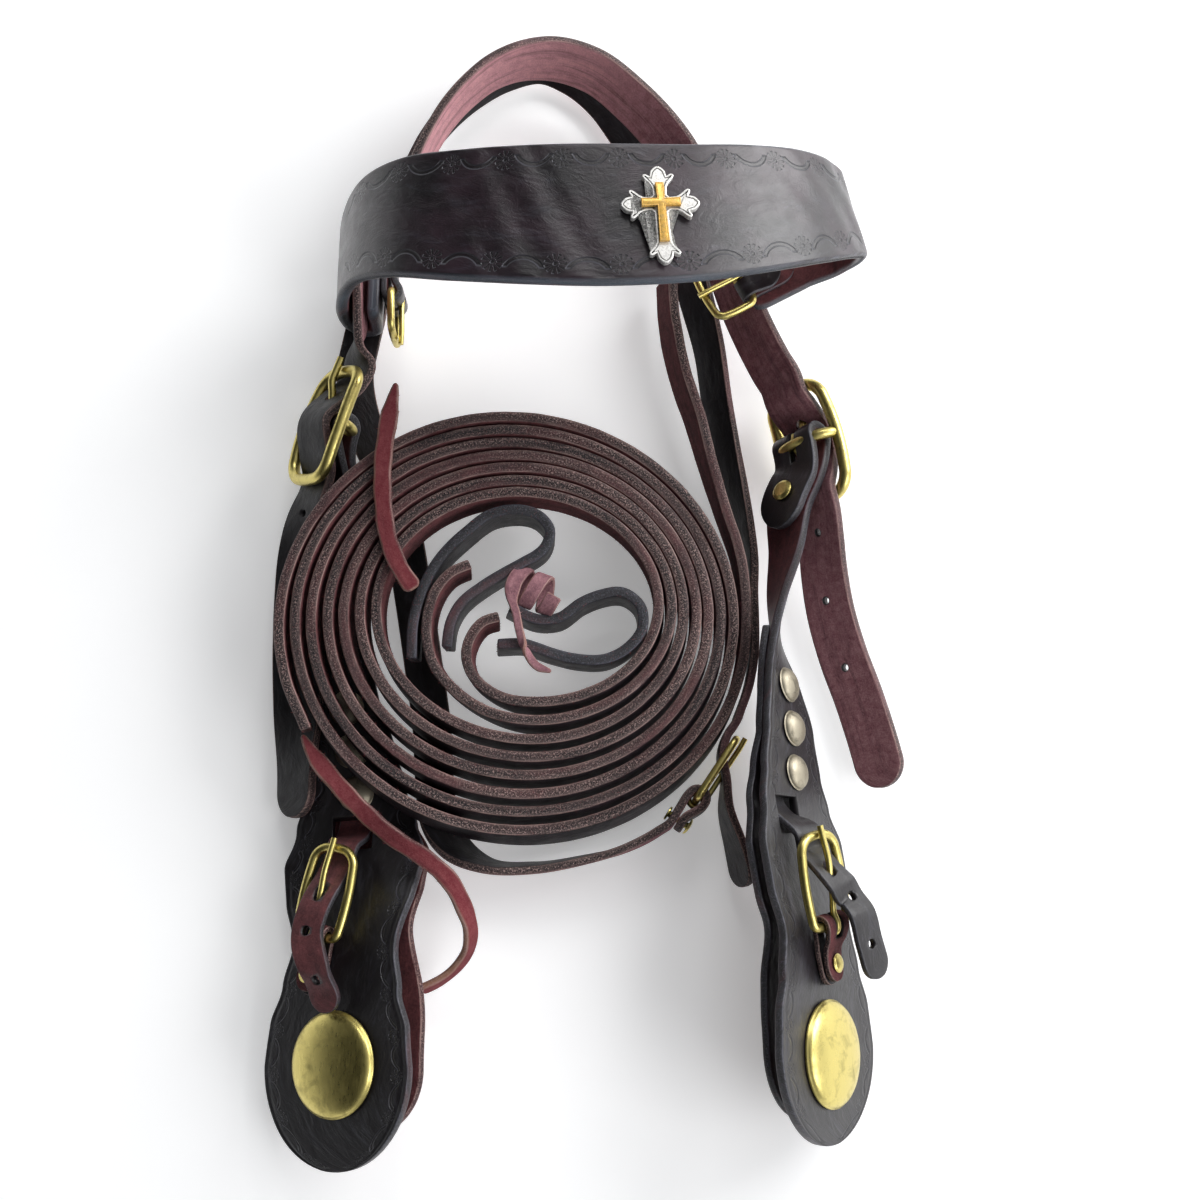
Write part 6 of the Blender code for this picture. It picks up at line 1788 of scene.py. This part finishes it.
LACE_UPPER = ((-66.8, 70, 40.8, 0), (-69.3, 56, 40.2, 0), (-71, 40, 38.8, 4), (-70.5, 26, 37.8, 6),
              (-68.3, 13, 36.6, 5), (-64.5, 4, 35.6, 3), (-59.5, -3.5, 34.4, 0))
LACE_LOWER = ((-98.7, -53.3, 23.5, -15), (-95.1, -59.1, 24.0, -12), (-86.6, -69.4, 25.0, -5),
              (-75.4, -80.6, 27.4, 8), (-64.3, -89.7, 31.2, 18), (-53.9, -96.4, 31.4, 10),
              (-46.1, -103.2, 29.2, -5), (-41.2, -112, 25.0, -30), (-39.0, -120.3, 19.0, -55),
              (-40.3, -127, 13.0, -68), (-44.3, -132.6, 9.4, -75), (-50.5, -137.4, 7.8, -75),
              (-57, -140.5, 7.2, -70))
KNOT_CENTRE = Vector((-17.6, -2.0, 24.6))
KNOT_AXIS = Vector((0.94, -0.34, 0)).normalized()
KNOT_LOOP = (6.2, 4.8)
KNOT_SPREAD = 15.0
KNOT_TAIL = ((-25.4, -6.0, 29.8), (-24.0, -11, 30.2), (-22.8, -17, 29.8), (-20.6, -24, 29.0),
             (-16.6, -29.6, 28.0), (-11.6, -31.4, 27.4))


def make_laces():
    width, thick = size("lace_width"), size("lace_thick")
    for name, rows, node in (("lace_top", LACE_UPPER, "lace_upper"),
                             ("lace_low", LACE_LOWER, "lace_lower")):
        path = strap_frames(rows)
        length = path[-1].s

        def half(s, end=length):
            taper = np.minimum(np.minimum(1.0, 0.25 + s / 14), 0.7 + (end - s) / 6)
            return width / 2 * taper + 0.12 * np.sin(s / 1.9)

        made = strap(name, path, half, thick, leather("lace"), FLESH_BOTH, 0.7, 0.8, 1.1, sway=0.25)
        add_fibres(name + "_fibres", made, "lace_red", "flesh_pale")
        seat(made, "root", "lace_leather", node)
    across = KNOT_AXIS.cross(UP)
    points = []
    for k in range(25):
        angle = math.radians(90 - k * 30)
        shift = (0.5 - k / 24) * KNOT_SPREAD
        spoke = across * math.cos(angle) * KNOT_LOOP[0] + UP * math.sin(angle) * KNOT_LOOP[1]
        points.append((KNOT_CENTRE + KNOT_AXIS * shift + spoke, KNOT_AXIS))
    for k, point in enumerate(KNOT_TAIL):
        points.append((Vector(point), KNOT_AXIS.lerp(across, 0.18 * k)))
    path = frames_of_rows(points, 1.0)
    end = path[-1].s

    def tie_half(s):
        """Wide in the wraps, narrow in the tail, which ends in a point."""
        return np.minimum(2.9 - 1.4 * smooth_share((s - end + 36) / 8), 0.7 + (end - s) / 5)

    knot = strap("lace_tie", path, tie_half, 1.8, leather("tie"), FLESH_BOTH, 0.6, 0.7, 0.7,
                 sway=0.1)
    add_fibres("lace_tie_fibres", knot, "tie", "crown_nap")
    seat(knot, "root", "lace_leather", "lace_knot")


# Studio

CAMERA = (Vector((0.00542, -0.13854, 0.60909)), Vector((0.00542, -0.00964, 0.00269)), 50.27)


TABLE_GLOW = 0.3
AIR_FADE = (-0.3, 0.85, 0.03, 0.85)
AIR_BAND = (0.35, 0.0, 0.0, 0.75)
LAMPS = (("window", (0.92, 0.62, 0.6), (0.05, 0, 0.05), 0.8, 13.0),
         ("near window", (0.95, -0.6, 0.8), (0, 0, 0), 0.8, 7.0),
         ("over the poll", (0.1, 1.2, 1.0), (0, 0.1, 0), 0.6, 5.0))


def make_studio():
    scene = bpy.context.scene
    data = bpy.data.cameras.new("camera")
    data.lens = CAMERA[2]
    data.sensor_width = 36
    data.clip_start = 0.01
    data.clip_end = 20
    camera = bpy.data.objects.new("camera", data)
    camera.location = CAMERA[0]
    camera.rotation_euler = (CAMERA[1] - CAMERA[0]).to_track_quat("-Z", "Y").to_euler()
    scene.collection.objects.link(camera)
    scene.camera = camera

    mesh = bpy.data.meshes.new("table")
    mesh.from_pydata([(x * 6, y * 6, 0) for x, y in ((-1, -1), (1, -1), (1, 1), (-1, 1))], [],
                     [(0, 1, 2, 3)])
    r = Recipe("white table")
    spot = r.add("ShaderNodeTexCoord", {}, "Object")
    tone = r.mix(r.noise(spot, 60, 3), linear_four(249, 249, 250), linear_four(252, 252, 252))
    seen = [r.add("ShaderNodeLightPath", {}, key)
            for key in ("Is Camera Ray", "Is Glossy Ray", "Is Transmission Ray")]
    seen = r.math("MAXIMUM", r.math("MAXIMUM", seen[0], seen[1]), seen[2])
    r.shader.inputs["Emission Color"].default_value = (1, 1, 1, 1)
    r.put(r.shader.inputs["Emission Strength"], r.math("MULTIPLY", seen, TABLE_GLOW))
    mesh.materials.append(r.finish(tone, 0.8, r.bump(r.noise(spot, 900, 2), 0.02, 0.0001)))
    link("table", mesh)

    world = bpy.data.worlds.new("studio air")
    world.use_nodes = True
    tree = world.node_tree
    back = tree.nodes["Background"]
    toward = tree.nodes.new("ShaderNodeSeparateXYZ")
    tree.links.new(tree.nodes.new("ShaderNodeTexCoord").outputs["Generated"], toward.inputs[0])
    brighter = tree.nodes.new("ShaderNodeMath")
    brighter.operation = "MAXIMUM"
    for socket, axis, limits in zip(brighter.inputs, "XZ", (AIR_FADE, AIR_BAND)):
        fade = tree.nodes.new("ShaderNodeMapRange")
        for key, value in zip(("From Min", "From Max", "To Min", "To Max"), limits):
            fade.inputs[key].default_value = value
        tree.links.new(toward.outputs[axis], fade.inputs["Value"])
        tree.links.new(fade.outputs[0], socket)
    tree.links.new(brighter.outputs[0], back.inputs["Strength"])
    back.inputs["Color"].default_value = (0.95, 0.97, 1.0, 1.0)
    scene.world = world
    for name, spot, aim, size_, power in LAMPS:
        lamp = bpy.data.lights.new(name, "AREA")
        lamp.shape = "SQUARE"
        lamp.size = size_
        lamp.energy = power
        made = bpy.data.objects.new(name, lamp)
        made.location = spot
        made.rotation_euler = (Vector(aim) - Vector(spot)).to_track_quat("-Z", "Y").to_euler()
        scene.collection.objects.link(made)
    scene.view_settings.view_transform = "Standard"


# Operators, one for each group of pieces

class HEADSTALL_OT_studio(bpy.types.Operator):
    """Set up the camera, the white table and the lights"""
    bl_idname = "headstall.studio"
    bl_label = "Studio"

    def execute(self, context):
        make_studio()
        return {"FINISHED"}


class HEADSTALL_OT_laces(bpy.types.Operator):
    """Make the loose laces and the tie in the middle of the coil"""
    bl_idname = "headstall.laces"
    bl_label = "Laces"

    def execute(self, context):
        make_laces()
        return {"FINISHED"}


class HEADSTALL_OT_reins(bpy.types.Operator):
    """Make the two reins wound together on edge"""
    bl_idname = "headstall.reins"
    bl_label = "Reins"

    def execute(self, context):
        make_reins()
        return {"FINISHED"}


class HEADSTALL_OT_cheeks(bpy.types.Operator):
    """Make both cheeks with their conchos, spots, bit buckles and billets"""
    bl_idname = "headstall.cheeks"
    bl_label = "Cheeks"

    def execute(self, context):
        for cheek in CHEEKS.values():
            make_cheek(cheek)
        return {"FINISHED"}


class HEADSTALL_OT_large_buckles(bpy.types.Operator):
    """Make the two large brass buckles and their tongues"""
    bl_idname = "headstall.large_buckles"
    bl_label = "Large buckles"

    def execute(self, context):
        for cheek in CHEEKS.values():
            make_large_buckle(cheek)
        return {"FINISHED"}


class HEADSTALL_OT_crown(bpy.types.Operator):
    """Make the crown strap with its punched tails"""
    bl_idname = "headstall.crown"
    bl_label = "Crown strap"

    def execute(self, context):
        make_crown()
        return {"FINISHED"}


class HEADSTALL_OT_throatlatch(bpy.types.Operator):
    """Make the throatlatch and its buckle"""
    bl_idname = "headstall.throatlatch"
    bl_label = "Throatlatch"

    def execute(self, context):
        make_throatlatch()
        return {"FINISHED"}


class HEADSTALL_OT_browband(bpy.types.Operator):
    """Make the tooled browband and the buckles at its ends"""
    bl_idname = "headstall.browband"
    bl_label = "Browband"

    def execute(self, context):
        make_browband()
        return {"FINISHED"}


class HEADSTALL_OT_cross(bpy.types.Operator):
    """Make the silver and gold cross on the browband"""
    bl_idname = "headstall.cross"
    bl_label = "Cross ornament"

    def execute(self, context):
        make_cross()
        return {"FINISHED"}


class HEADSTALL_PT_bench(bpy.types.Panel):
    """The bench: settings, and a button for each group of pieces"""
    bl_label = "Headstall"
    bl_idname = "HEADSTALL_PT_bench"
    bl_space_type = "VIEW_3D"
    bl_region_type = "UI"
    bl_category = "Headstall"

    def draw(self, context):
        layout = self.layout
        for step in STEPS:
            layout.operator(step.bl_idname)
        for settings in (context.scene.headstall_sizes, context.scene.headstall_colours):
            box = layout.box()
            for name in settings.__annotations__:
                box.prop(settings, name)


STEPS = (HEADSTALL_OT_studio, HEADSTALL_OT_laces, HEADSTALL_OT_reins, HEADSTALL_OT_cheeks,
         HEADSTALL_OT_large_buckles, HEADSTALL_OT_crown, HEADSTALL_OT_throatlatch,
         HEADSTALL_OT_browband, HEADSTALL_OT_cross)
CLASSES = (HeadstallSizes, HeadstallColours) + STEPS + (HEADSTALL_PT_bench,)


def register():
    for made in CLASSES:
        bpy.utils.register_class(made)
    bpy.types.Scene.headstall_sizes = bpy.props.PointerProperty(type=HeadstallSizes)
    bpy.types.Scene.headstall_colours = bpy.props.PointerProperty(type=HeadstallColours)


def unregister():
    del bpy.types.Scene.headstall_colours
    del bpy.types.Scene.headstall_sizes
    for made in reversed(CLASSES):
        bpy.utils.unregister_class(made)


def main():
    register()
    bpy.ops.headstall.studio()
    bpy.ops.headstall.laces()
    bpy.ops.headstall.reins()
    bpy.ops.headstall.cheeks()
    bpy.ops.headstall.large_buckles()
    bpy.ops.headstall.crown()
    bpy.ops.headstall.throatlatch()
    bpy.ops.headstall.browband()
    bpy.ops.headstall.cross()
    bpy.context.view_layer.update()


if __name__ == "__main__":
    main()
